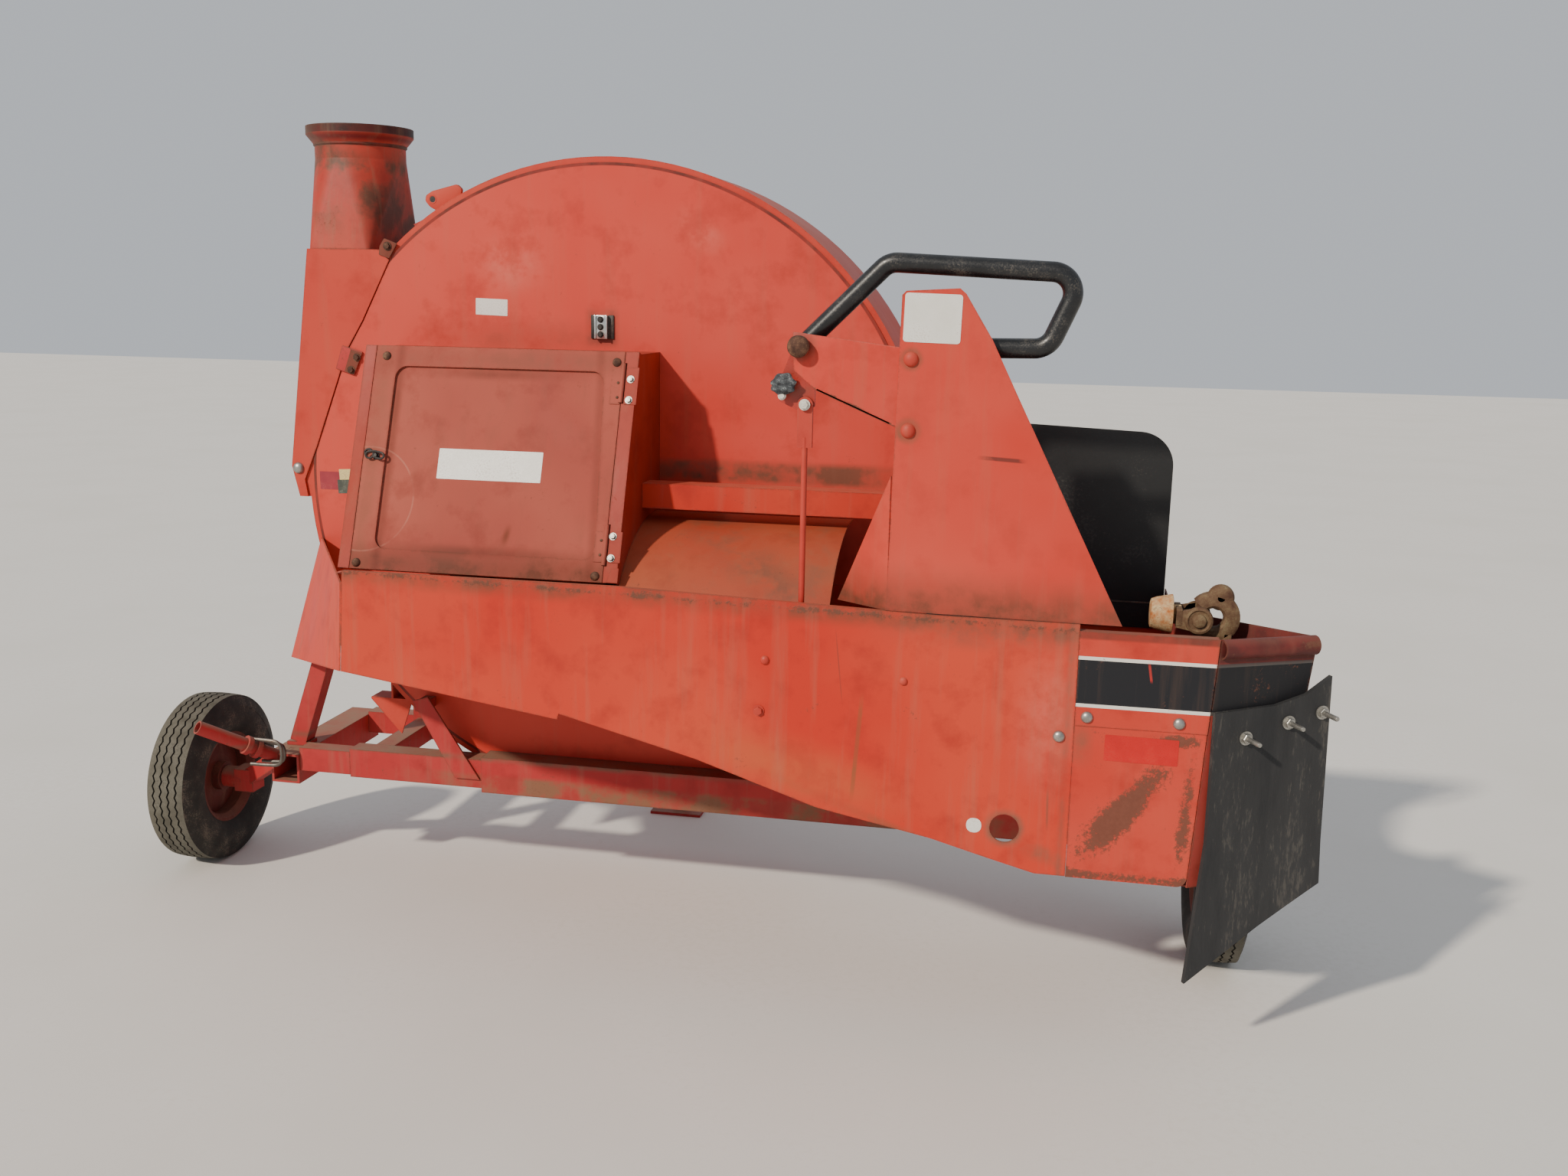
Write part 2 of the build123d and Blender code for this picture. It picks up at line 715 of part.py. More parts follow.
def make_feed_bar():
    """Bent pipe that stops the feed, with its boss and pin and the small crank for the link."""
    x0 = bar_swing_x
    z0 = bar_swing_z
    y = -bar_out
    pts = [(x0 + 6, y, z0 + 8), (x0 + 162, y, z0 + 161), (x0 + 528, y, z0 + 145),
           (x0 + 468, y, z0 + 6), (x0 + 238, y, z0 + 2)]
    path = FilletPolyline(*pts, radius=bar_bend)
    start = Plane(origin=path @ 0, z_dir=path % 0)
    tube = sweep(start * Circle(bar_od / 2), path=path)
    tube -= sweep(start * Circle(bar_od / 2 - bar_wall), path=path)
    half = bar_od / 2
    boss = rod_y(x0, z0, 24, -bar_out - half, -bar_out + half)
    pin = rod_y(x0, z0, bar_pin_r, -front_out - 12, -bar_out)
    head = rod_y(x0, z0, 21, -front_out - 12, -front_out - 2)
    y0 = -bar_out - half
    w = lever_wide / 2
    z1 = lever_low_z
    lever = prism_xz([(x0 - w, z0), (link_x - w - 40, z1 + 34), (link_x - w - 36, z1 + 4), (link_x - 6, z1 - w),
                      (link_x + w, z1 - 4), (x0 + w + 10, z0)], y0, y0 + lever_thick)
    link_pin = rod_y(link_x, z1, link_pin_r, -link_out - link_thick / 2 - 6, y0 + lever_thick)
    return tube + boss + pin + head + lever + link_pin


def make_link_rod():
    half = link_thick / 2
    rod = rod_z(link_x, -link_out, link_rod_r, link_low_z, lever_low_z - link_plate_high + 20)
    plate = box(link_x - 15, link_x + 15, -link_out - half, -link_out + half,
                lever_low_z - link_plate_high, lever_low_z)
    plate += rod_y(link_x, lever_low_z, 15, -link_out - half, -link_out + half)
    plate -= rod_y(link_x, lever_low_z, link_pin_r + door_pin_play, -link_out - 30, -link_out + 30)
    return rod + plate


def make_tunnel():
    x0 = box_right + 0.5
    x1 = tunnel_right
    y0 = -tunnel_out
    y1 = y0 + tunnel_deep
    outer = box(x0, x1, y0, y1, tunnel_z - tunnel_high / 2, tunnel_z + tunnel_high / 2)
    inner = box(x0 - 1, x1 + 1, y0 + 3, y1 - 3, tunnel_z - tunnel_high / 2 + 3, tunnel_z + tunnel_high / 2 - 3)
    return outer - inner


def make_gearbox():
    s = gear_size
    y1 = -face_thick - 3 * plate_gap
    body = box(-s / 2, s / 2, y1 - s, y1, shaft_z - s / 2, shaft_z + s / 2)
    body = fillet(body.edges().filter_by(Axis.Y), 18)
    body -= rod_y(0, shaft_z, shaft_od / 2 + shaft_play, -shaft_front - 1, y1 + 1)
    return body


def make_driveline():
    """Front yoke with its collar and the cross, which swing about the cross's upright pin."""
    r = yoke_r
    tall = yoke_r + yoke_thick + 8
    body = rod_z(0, 0, cross_pin_r, -tall, tall) + rod_y(0, 0, cross_pin_r, -tall + 6, tall - 6)
    body += rod_z(0, 0, cross_pin_r + 6, -16, 16)
    for y0, y1 in ((-tall + 8, -r - 2), (r + 2, tall - 8)):
        body += rod_y(0, 0, r - 2, y0, y1) + box(-46, 0, y0, y1, -r + 6, r - 6)
    body += box(-54, -42, -tall + 8, tall - 8, -r + 4, r - 4)
    body += rod_x(0, 0, r, -60, -50)
    body += rod_x(0, 0, collar_r, -84, -56)
    return Pos(joint_x, -joint_out, joint_z) * body


def make_drive_plate():
    """Pedestal on the end box's floor with the fixed rear yoke of the cross joint."""
    r = yoke_r
    floor = end_low_z + skirt_thick + plate_gap - joint_z
    tall = yoke_r + yoke_thick + 8
    body = box(50, 58, -r, r, -tall, tall) + box(50, 58, -r + 10, r - 10, floor, -tall + 1)
    body += box(30, 64, -r + 2, r - 2, floor, floor + 8)
    for z0, z1 in ((-tall, -r - 8), (r + 8, tall)):
        body += box(0, 58, -r, r, z0, z1) + rod_z(0, 0, r, z0, z1)
    body -= rod_z(0, 0, cross_pin_r + shaft_play, -200, 200)
    return Pos(joint_x, -joint_out, joint_z) * body


def channel(x0, x1, y0, y1, z0, z1, wall):
    """Channel along X, open to the rear side."""
    body = box(x0, x1, y0, y1, z0, z1)
    body -= box(x0 - 1, x1 + 1, y0 + wall, y1 + 1, z0 + wall, z1 - wall)
    return body


def make_front_rail():
    """Front channel of the frame, with the lighter channel that slides into it on the left."""
    y0 = -rail_front_out
    rail = channel(-rail_split, rail_right, y0, y0 + rail_wide, rail_top_z - rail_high, rail_top_z, rail_wall)
    z0 = rail_top_z - rail_high + (rail_high - rail_left_high) / 2
    rail += channel(-rail_left, -rail_split + 60, y0 + rail_wall, y0 + rail_wide, z0, z0 + rail_left_high, rail_wall)
    return rail


def rear_rail_y():
    return housing_depth + rear_rail_gap


def make_rear_rail():
    y0 = rear_rail_y()
    return channel(-rail_left, rail_right, y0, y0 + rail_wide, rail_top_z - rail_high, rail_top_z, rail_wall)


def make_cross_beams():
    """Tubes across the frame between the two long rails, clear of the fan drum."""
    y0 = -rail_front_out + rail_wide + plate_gap
    y1 = rear_rail_y() - plate_gap
    out = []
    for x in (-cross_x - 60, cross_x, rail_right - 60):
        beam = box(x - cross_size / 2, x + cross_size / 2, y0, y1, rail_top_z - rail_high + 10,
                   rail_top_z - rail_high + 10 + cross_size)
        beam -= box(x - cross_size / 2 + 5, x + cross_size / 2 - 5, y0 - 1, y1 + 1,
                    rail_top_z - rail_high + 15, rail_top_z - rail_high + 5 + cross_size)
        out.append(beam)
    return out


def make_axle_beam():
    """Square tube across the frame with its ties to the rails and the clamp tube at its front corner."""
    h = beam_size / 2
    y0 = -rail_front_out
    y1 = rear_rail_y() + rail_wide
    z0 = beam_top_z - beam_size
    beam = box(-beam_x - h, -beam_x + h, y0, y1, z0, beam_top_z) + make_clamp()
    beam -= box(-beam_x - h + 6, -beam_x + h - 6, y0 - 1, y1 + 1, z0 + 6, beam_top_z - 6)
    tie_f = box(-beam_x + h, -rail_left - plate_gap, y0 + 6, y0 + 54, z0 + 34, z0 + 94)
    tie_r = box(-beam_x + h, -rail_left - plate_gap, y1 - 54, y1 - 6, z0 + 24, z0 + 84)
    return beam + tie_f + tie_r


def make_post():
    """Square tube from the axle beam up behind the trough's left sheet."""
    low = (-beam_x - 4, 30, beam_top_z + 10)
    foot = box(low[0] - 30, low[0] + 30, 8, 52, beam_top_z + plate_gap, beam_top_z + 10)
    post = bar_between(low, (-fan_r + 48, 30, left_low_z + 134), post_size, post_size, up=(1, 0, 0))
    return foot + post


def tyre_profile():
    r = tyre_od / 2
    b = rim_d / 2 - 4
    h = tyre_w / 2
    return make_face(Polyline([
        (b, -h + 22), (b + 30, -h + 4), (r - 52, -h), (r - 18, -h + 6), (r - 4, -h + 18), (r, -h + 36),
        (r, h - 36), (r - 4, h - 18), (r - 18, h - 6), (r - 52, h), (b + 30, h - 4), (b, h - 22),
        (b + 6, h - 30), (b + 34, h - 16), (r - 50, h - 12), (r - 16, h - 26), (r - 12, 0),
        (r - 16, -h + 26), (r - 50, -h + 12), (b + 34, -h + 16), (b + 6, -h + 30)], close=True))


def make_tyre(x, y):
    ring = revolve(Plane.XZ * tyre_profile(), Axis.Z)
    return Location((x, y, tyre_od / 2), (0, 90, 0)) * ring


def make_rim(x, y, side):
    """Pressed wheel: rim, dish and hub. The hub bore runs on the axle."""
    b = rim_d / 2 - 4 - 0.4
    h = tyre_w / 2
    pts = [(b, -h + 16), (b + 8, -h + 14), (b + 8, -h + 17), (b, -h + 20), (b - 6, -h + 32), (b - 6, h - 32),
           (b, h - 20), (b + 8, h - 17), (b + 8, h - 14), (b, h - 16), (b - 10, h - 30), (b - 10, 4),
           (hub_d / 2 + 20, 14), (hub_d / 2, 14), (hub_d / 2, hub_len / 2), (axle_d / 2 + axle_play, hub_len / 2),
           (axle_d / 2 + axle_play, -hub_len / 2), (hub_d / 2, -hub_len / 2), (hub_d / 2, 8),
           (hub_d / 2 + 20, 8), (b - 10, -2), (b - 10, -h + 30)]
    rim = revolve(Plane.XZ * make_face(Polyline(pts, close=True)), Axis.Z)
    return Location((x, y, tyre_od / 2), (0, 90 * side, 0)) * rim


def make_wheel_leg(x, y, root, side):
    """Axle stub, arm and clamp head. side is +1 when the frame lies to the +X side of the wheel."""
    r = tyre_od / 2
    stub = rod_x(y, r, axle_d / 2, min(x - side * (hub_len / 2 + 12), x + side * (tyre_w / 2 + 46)),
                 max(x - side * (hub_len / 2 + 12), x + side * (tyre_w / 2 + 46)))
    cap = rod_x(y, r, axle_d / 2 + 8, min(x - side * (hub_len / 2 + 2), x - side * (hub_len / 2 + 12)),
                max(x - side * (hub_len / 2 + 2), x - side * (hub_len / 2 + 12)))
    collar = rod_x(y, r, 28, min(x + side * (hub_len / 2 + 2), x + side * (tyre_w / 2 + 30)),
                   max(x + side * (hub_len / 2 + 2), x + side * (tyre_w / 2 + 30)))
    knee = (x + side * (tyre_w / 2 + 40), y, r)
    foot = (root[0] - side * 22, root[1], root[2])
    arm = bar_between(knee, foot, 40, 40)
    head = Pos(*knee) * Box(54, 54, 60)
    plate = Pos(root[0] - side * 12, root[1], root[2]) * Box(24, 70, 60)
    return stub + cap + collar + arm + head + plate


def hitch_start():
    return rear_rail_y() + rail_wide + plate_gap


def arm_axis_x(y):
    """Distance of a hitch arm's axis from the middle at one depth."""
    y0 = hitch_start() + hitch_tube / 2
    y1 = hitch_y - hitch_head_long
    return hitch_half + (hitch_head_half - hitch_half) * (y - y0) / (y1 - y0)


def make_hitch_arm(side):
    """Square tube from the rear rail to the hitch head. side is -1 for the left arm, 1 for the right."""
    y0 = hitch_start()
    y1 = hitch_y - hitch_head_long - plate_gap
    far = y1 + hitch_tube
    arm = bar_between((side * arm_axis_x(y0 - hitch_tube), y0 - hitch_tube, hitch_z),
                      (side * arm_axis_x(far), far, hitch_z), hitch_tube, hitch_tube)
    inner, outer = sorted((side * (hitch_half - 60), side * (hitch_half + 50)))
    pad = box(inner, outer, y0, y0 + 12, rail_top_z - rail_high, rail_top_z)
    return arm + pad - box(-2000, 2000, y0 - 400, y0, 0, 1000) - box(-2000, 2000, y1, y1 + 400, 0, 1000)


def make_hitch_head():
    """Two plates with the pin hole, on a block between the arms' ends."""
    h = hitch_tube / 2
    y0 = hitch_y - hitch_head_long
    half = hitch_head_half + hitch_tube / 2
    body = box(-half, half, y0, y0 + 40, hitch_z - h, hitch_z + h)
    body += box(-40, 40, y0, hitch_y + 40, hitch_z + h, hitch_z + h + 12)
    body += box(-40, 40, y0, hitch_y + 40, hitch_z - h - 12, hitch_z - h)
    return body - rod_z(0, hitch_y, hitch_pin_d / 2, hitch_z - 60, hitch_z + 60)


def make_jack_sleeve():
    """Tube of the jack stand on a tie that runs between the two hitch arms."""
    top = hitch_z + jack_leg_up + jack_travel + 20
    low = hitch_z - 90
    run = hitch_y - hitch_head_long - hitch_start() - hitch_tube / 2
    slant = math.atan2(hitch_half - hitch_head_half, run)
    room = hitch_tube / 2 / math.cos(slant) + plate_gap
    y0 = jack_y - 20
    y1 = jack_y + 20
    tie = prism_xy([(-arm_axis_x(y0) + room, y0), (arm_axis_x(y0) - room, y0),
                    (arm_axis_x(y1) - room, y1), (-arm_axis_x(y1) + room, y1)], hitch_z - 20, hitch_z + 20)
    body = tie + rod_z(jack_x, jack_y, jack_od / 2, low, top)
    return body - rod_z(jack_x, jack_y, jack_leg / 2 + jack_play, low - 1, top - 8)


def make_jack_leg():
    leg = rod_z(jack_x, jack_y, jack_leg / 2, 8, hitch_z + jack_leg_up)
    foot = box(jack_x - jack_foot / 2, jack_x + jack_foot / 2, jack_y - jack_foot / 2,
               jack_y + jack_foot / 2, 0, 8)
    return leg + foot


def make_flap():
    """Rubber sheet that hangs from the end wall, bowed across and flared at its foot."""
    t = flap_thick
    p = nose_at(flap_top_z)[0]
    q = nose_at(flap_top_z + 70)[1]
    d = (q - p).normalized()
    n = Vector(d.Y, -d.X)
    p = p - n * flap_seat

    def section(z, places):
        front = [p + d * s + n * o for s, o in places]
        rear = [p + d * s + n * (o + t) for s, o in places]
        points = [(v.X, v.Y, z) for v in front] + [(v.X, v.Y, z) for v in reversed(rear)]
        return make_face(Polyline(points, close=True))

    wide = flap_wide
    sheet = loft([section(flap_low_z - 20, [(-38, 26), (110, 30), (wide + 12, 40)]),
                  section(flap_bend_z, [(3, 5), (130, 8), (wide + 6, 24)]),
                  section(flap_top_z + 110, [(3, 0.5), (130, 6), (wide, 18)])], ruled=True)
    plane = Plane(origin=(p.X, p.Y, 0), x_dir=(d.X, d.Y, 0), z_dir=(n.X, n.Y, 0))
    z0 = flap_low_z
    z1 = flap_top_z
    keep = make_face(Polyline([(-60, z0 + 2), (-36, z0 + 10), (wide + 12, z0 + 200), (wide + 40, z0 + 220),
                               (wide + 40, z1 + 76), (wide, z1 + 70), (190, z1 + 34), (130, z1 + 14), (3, z1 + 4),
                               (-60, z1)], close=True))
    return sheet & extrude(plane * keep, amount=300, both=True)


def duct_outline(inset):
    """Outline of the duct beside the fan circle; its outer edge leans in towards the pipe."""
    lean = math.atan2(duct_lean, duct_square_z - duct_low_z)
    side = inset / math.cos(lean)
    low = duct_left - side
    top = duct_top_left - side
    return [(-top, duct_square_z), (-low, duct_low_z), (-low + duct_tip_in, duct_tip_z + inset),
            (-fan_r + ring_width, duct_tip_z + inset), (-duct_in - inset, fan_z), (-duct_in - inset, duct_square_z)]


def gap_line():
    """Edge of the duct's front plate, along which the round face is cut off."""
    return [(-529, 1568), (-604, 1424), (-646, 1356), (-737, 1119), (-773, 1036)]


def make_duct_front():
    """Raised front plate of the duct, up to the slot beside the round face."""
    edge = [(x - face_slot, z) for x, z in gap_line()]
    plate = prism_xz([(-duct_top_left, duct_square_z), (-duct_left, duct_low_z),
                      (-duct_left + duct_tip_in, duct_tip_z), (-fan_r - 4, duct_tip_z)] + edge[::-1]
                     + [(-duct_in + 26, duct_square_z)], -duct_front_thick, 1)
    return plate


def make_drum_web():
    """Corner gusset under the drum with its folded top edge and the web behind it."""
    left = -(fan_r - gusset_in)
    at = left + gusset_wide / 2
    reach = fan_z - math.sqrt(fan_r ** 2 - at ** 2) + 20
    z = gusset_top_z
    right = left + gusset_wide
    plate = prism_xz([(left, z), (right, z), (right - 30, z - 86)], 0, gusset_thick)
    fold = box(left, right, 0, 60, z, z + gusset_thick)
    web = box(at, at + gusset_thick, 0, housing_depth, z - 40, reach)
    return plate + fold + web


def duct_front_keep():
    """Space on the duct's side of the slot, where the front wall stays closed."""
    edge = [(x - face_slot, z) for x, z in gap_line()]
    return prism_xz([(-2000, duct_tip_z - 60)] + [(edge[-1][0], duct_tip_z - 60)] + edge[::-1]
                    + [(edge[0][0] + 200, edge[0][1] + 400), (-2000, edge[0][1] + 400)], -10, ring_thick + 10)


def spout_wire(w, d, corner, z):
    """Closed wire of four short or long sides and four corner arcs, or a circle cut the same way."""
    edges = []
    for i in range(4):
        a = math.pi / 2 * i
        if corner:
            half_a = (w, d)[i % 2]
            half_b = (d, w)[i % 2]
            turn = lambda p, q, a=a: (p * math.cos(a) - q * math.sin(a), p * math.sin(a) + q * math.cos(a), z)
            low = turn(half_a, -half_b + corner)
            high = turn(half_a, half_b - corner)
            mid = turn(half_a - corner * (1 - math.sqrt(0.5)), half_b - corner * (1 - math.sqrt(0.5)))
            end = turn(half_a - corner, half_b)
            edges.append(Edge.make_line(low, high))
            edges.append(Edge.make_three_point_arc(high, mid, end))
        else:
            point = lambda b: (w * math.cos(b), w * math.sin(b), z)
            small = math.radians(spout_flat)
            edges.append(Edge.make_line(point(a - small), point(a + small)))
            edges.append(Edge.make_three_point_arc(
                point(a + small), point(a + math.pi / 4), point(a + math.pi / 2 - small)))
    return Wire(edges)


def moved(wire, by):
    return Pos(by[0], by[1], 0) * wire


def door_place():
    """Place on the door plane: the hinge corner at the top, with x along the width and z up the slope."""
    return Location((door_right, -box_top_out - door_gap, box_top_z), (-math.degrees(slope_door), 0, 0))


def door_high():
    return math.hypot(box_low_out - box_top_out, box_top_z - box_low_z)


def skirt_top():
    """Top edge of the trough's front sheet from left to right."""
    return [(-skirt_left, skirt_left_top_z), (190, skirt_left_top_z), (845, skirt_top_z),
            (skirt_seam - plate_gap, skirt_top_z)]


def skirt_edge_z(x):
    """Height of that top edge at one place."""
    run = skirt_top()
    for (x0, z0), (x1, z1) in zip(run[:-1], run[1:]):
        if x <= x1:
            return z0 + (z1 - z0) * (x - x0) / (x1 - x0)
    return run[-1][1]


def tower_y():
    return -front_out + 4


def make_rail_brace():
    """Flat brace from the round face down across the left rail."""
    y0 = -rail_front_out + rail_wall - plate_gap
    t = brace_thick
    x = -rail_split - 30
    z = rail_top_z
    strap = prism_xz([(x - 146, z + 132), (x - 106, z + 144), (x + 25, z - 58), (x - 40, z - 58)], y0 - t, y0)
    spacer = box(x - 140, x - 112, y0 - t, -face_thick - 2 * plate_gap, z + 106, z + 130)
    return strap + spacer


def nose_at(z):
    """Outer corner and outer tip of the end wall at one height."""
    f = (z - end_low_z) / (wall_top_z - end_low_z)
    return [Vector(a[0] + (b[0] - a[0]) * f, a[1] + (b[1] - a[1]) * f)
            for a, b in zip(nose_path(True)[:2], nose_path(False)[:2])]


def make_clamp():
    """Open tube with two clamp rings at the front corner of the axle beam."""
    z = beam_top_z - 12
    x = -beam_x - beam_size / 2
    start = (x + 10, -52, z)
    end = (x - 111, -200, z + 111)
    a = Vector(*start)
    step = Vector(*end) - a
    tube = rod_between(start, end, clamp_r)
    for f in (0.24, 0.36):
        b = a + step * f
        tube += rod_between(tuple(b), tuple(b + step.normalized() * 12), clamp_r + 7)
    return tube - rod_between(tuple(a + step * 0.6), tuple(a + step * 1.1), clamp_r - 4)


def place_all():
    move = Pos(fan_x, face_y, 0)
    return move


def build():
    nodes = {}
    nodes["fan_housing"] = make_fan_housing()
    nodes["face_plate"] = make_face_plate()
    nodes["spout"] = make_spout()
    nodes["fan_rotor"] = make_fan_rotor()
    nodes["fan_shaft"] = make_fan_shaft()
    nodes["rear_bearing"] = make_rear_bearing()
    nodes["inlet_box"] = make_inlet_box()
    nodes["inlet_door"] = make_inlet_door()
    nodes["left_sheet"] = make_left_sheet()
    nodes["front_skirt"] = make_front_skirt()
    nodes["end_panel"] = make_end_panel()
    nodes["nose_wall"] = make_nose_wall()
    nodes["trough"] = make_trough()
    nodes["auger"] = make_auger()
    nodes["back_sheet"] = make_back_sheet()
    nodes["auger_cover"] = make_auger_cover()
    nodes["tower_panel"] = make_tower_panel()
    nodes["black_sheet"] = make_black_sheet()
    nodes["bar_bracket"] = make_bracket()
    nodes["feed_bar"] = make_feed_bar()
    nodes["link_rod"] = make_link_rod()
    nodes["shaft_tunnel"] = make_tunnel()
    nodes["gearbox"] = make_gearbox()
    nodes["driveline"] = make_driveline()
    nodes["drive_plate"] = make_drive_plate()
    nodes["front_rail"] = make_front_rail()
    nodes["rear_rail"] = make_rear_rail()
    nodes["rail_brace"] = make_rail_brace()
    for i, beam in enumerate(make_cross_beams()):
        nodes["cross_beam_%d" % (i + 1)] = beam
    nodes["axle_beam"] = make_axle_beam()
    nodes["corner_post"] = make_post()
    nodes["wheel_leg_left"] = make_wheel_leg(
        -wheel_left_x, wheel_left_y, (-beam_x - beam_size / 2 - plate_gap, 20, beam_top_z - beam_size / 2), 1)
    nodes["wheel_leg_right"] = make_wheel_leg(
        wheel_right_x, wheel_right_y, (rail_right - 35 + plate_gap, 120, rail_top_z - rail_high + 35), -1)
    nodes["tyre_left"] = make_tyre(-wheel_left_x, wheel_left_y)
    nodes["rim_left"] = make_rim(-wheel_left_x, wheel_left_y, 1)
    nodes["tyre_right"] = make_tyre(wheel_right_x, wheel_right_y)
    nodes["rim_right"] = make_rim(wheel_right_x, wheel_right_y, -1)
    nodes["hitch_arm_left"] = make_hitch_arm(-1)
    nodes["hitch_arm_right"] = make_hitch_arm(1)
    nodes["hitch_head"] = make_hitch_head()
    nodes["jack_sleeve"] = make_jack_sleeve()
    nodes["jack_leg"] = make_jack_leg()
    nodes["rubber_flap"] = make_flap()
    return nodes


os.makedirs("parts", exist_ok=True)
for name, shape in build().items():
    export_step(place_all() * shape, "parts/" + name + ".step")
    print("wrote", name)
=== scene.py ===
# Forage blower: an old sun-faded farm machine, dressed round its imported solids.
# Places are in millimetres from the fan's axis (x), its front face (y) and the ground (z).

import math

import bmesh
import bpy
from mathutils import Matrix, Vector


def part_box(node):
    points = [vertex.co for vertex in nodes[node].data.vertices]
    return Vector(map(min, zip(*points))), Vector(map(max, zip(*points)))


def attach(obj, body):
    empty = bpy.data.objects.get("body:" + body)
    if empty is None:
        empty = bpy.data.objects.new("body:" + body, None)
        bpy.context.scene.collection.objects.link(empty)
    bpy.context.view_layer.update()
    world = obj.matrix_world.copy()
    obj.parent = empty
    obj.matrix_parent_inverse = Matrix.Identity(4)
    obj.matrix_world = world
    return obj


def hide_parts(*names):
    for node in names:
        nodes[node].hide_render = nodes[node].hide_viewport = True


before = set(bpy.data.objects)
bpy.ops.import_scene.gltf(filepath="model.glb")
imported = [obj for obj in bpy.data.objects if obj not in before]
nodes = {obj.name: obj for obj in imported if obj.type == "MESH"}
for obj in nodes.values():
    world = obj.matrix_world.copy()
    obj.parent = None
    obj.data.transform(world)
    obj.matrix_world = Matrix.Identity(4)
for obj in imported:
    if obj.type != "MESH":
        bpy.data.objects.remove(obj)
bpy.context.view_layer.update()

# the fan's axis and front face in the row frame, read from the solids
mm = 0.001
faceGap = 0.3 * mm
shaftLow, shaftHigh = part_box("fan_shaft")
fanX = (shaftLow.x + shaftHigh.x) / 2
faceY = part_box("face_plate")[1].y + faceGap

# directions: along the trough, out to the yard, out to the tractor, and up
alongWay, yardWay, tractorWay, upWay = (1, 0, 0), (0, -1, 0), (0, 1, 0), (0, 0, 1)


# Point of the row frame, in metres, from millimetres at the fan
def spot(x, y, z):
    return Vector((x * mm + fanX, y * mm + faceY, z * mm))


# Linear colour of an sRGB hex value
def hexColour(text):
    parts = [int(text[i:i + 2], 16) / 255 for i in (1, 3, 5)]
    return [c / 12.92 if c <= 0.04045 else ((c + 0.055) / 1.055) ** 2.4 for c in parts] + [1.0]


# Adds one shader node with its settings; an input is a value or another node's output
def addNode(tree, kind, settings=None, inputs=None):
    node = tree.nodes.new("ShaderNode" + kind)
    for key, value in (settings or {}).items():
        setattr(node, key, value)
    for key, value in (inputs or {}).items():
        if isinstance(value, bpy.types.NodeSocket):
            tree.links.new(value, node.inputs[key])
        else:
            node.inputs[key].default_value = value
    return node


# Arithmetic on numbers and outputs
def calc(tree, operation, *values):
    return addNode(tree, "Math", {"operation": operation}, dict(enumerate(values))).outputs[0]


# Arithmetic on vectors
def vectorCalc(tree, operation, *values):
    node = addNode(tree, "VectorMath", {"operation": operation}, dict(enumerate(values)))
    return node.outputs["Value" if operation in ("DOT_PRODUCT", "LENGTH") else "Vector"]


# Level that runs from start to end while its source runs over a span
def ramp(tree, source, span, start=0.0, end=1.0, smooth=False):
    settings = {"interpolation_type": "SMOOTHSTEP"} if smooth else None
    values = {0: source, 1: span[0], 2: span[1], 3: start, 4: end}
    return addNode(tree, "MapRange", settings, values).outputs[0]


# One colour laid over another, each a hex value or an output
def blend(tree, level, under, over):
    under, over = (hexColour(tone) if isinstance(tone, str) else tone for tone in (under, over))
    return addNode(tree, "Mix", {"data_type": "RGBA"}, {0: level, 6: under, 7: over}).outputs[2]


# Soft noise with patches about as wide as the size, in millimetres
def noiseLevel(tree, place, size, detail, roughness=0.5):
    values = {"Vector": place, "Scale": 1 / mm / size, "Detail": detail, "Roughness": roughness}
    return addNode(tree, "TexNoise", inputs=values).outputs["Fac"]


# Object coordinates drawn out along the axes
def stretched(tree, place, scale):
    return addNode(tree, "Mapping", inputs={"Vector": place, "Scale": scale}).outputs[0]


# Empty material with a shader and the object's own coordinates
def startMaterial(name):
    material = bpy.data.materials.new(name)
    material.use_nodes = True
    tree = material.node_tree
    tree.nodes.clear()
    shader = addNode(tree, "BsdfPrincipled")
    addNode(tree, "OutputMaterial", inputs={"Surface": shader.outputs[0]})
    return material, tree, shader, addNode(tree, "TexCoord").outputs["Object"]


# Joins colour, roughness and a fine relief to the shader
def dressShader(tree, shader, colour, rough, height, strength, depth):
    tree.links.new(colour, shader.inputs["Base Color"])
    tree.links.new(rough, shader.inputs["Roughness"])
    bump = addNode(tree, "Bump", inputs={"Strength": strength, "Distance": depth, "Height": height})
    tree.links.new(bump.outputs[0], shader.inputs["Normal"])


# How near a point is to the middle of a seam, patch or ring: 1 there, 0 beyond its half width
def bandLevel(tree, place, band):
    offset = vectorCalc(tree, "SUBTRACT", place, spot(*band["through"]))
    sides = []
    for way, reach in (("across", "half"), ("along", "reach"), ("into", "depth")):
        if way in band:
            side = vectorCalc(tree, "DOT_PRODUCT", offset, Vector(band[way]).normalized())
            sides.append((side, band[reach]))
    if "ring" in band:
        far = vectorCalc(tree, "LENGTH", vectorCalc(tree, "MULTIPLY", offset, (1, 0, 1)))
        sides.append((calc(tree, "SUBTRACT", far, band["ring"] * mm), band["half"]))
    level = band.get("amount", 1.0)
    for side, reach in sides:
        solid = reach * mm * (1 - band.get("soft", 1.0))
        near = ramp(tree, calc(tree, "ABSOLUTE", side), (solid, reach * mm), 1.0, 0.0, smooth=True)
        level = calc(tree, "MULTIPLY", near, level)
    return level


# span of a noise in which a wash grows from broken to whole
patchSpan = (0.42, 0.58)


# Dirt, faded patches and rub marks over a colour, each broken up by a noise
def addWashes(tree, place, colour, noise, washes):
    for wash in washes:
        patchy = ramp(tree, noise, patchSpan, 1.0 - wash.get("broken", 0.5))
        level = calc(tree, "MULTIPLY", bandLevel(tree, place, wash), patchy)
        colour = blend(tree, level, colour, wash["colour"])
    return colour


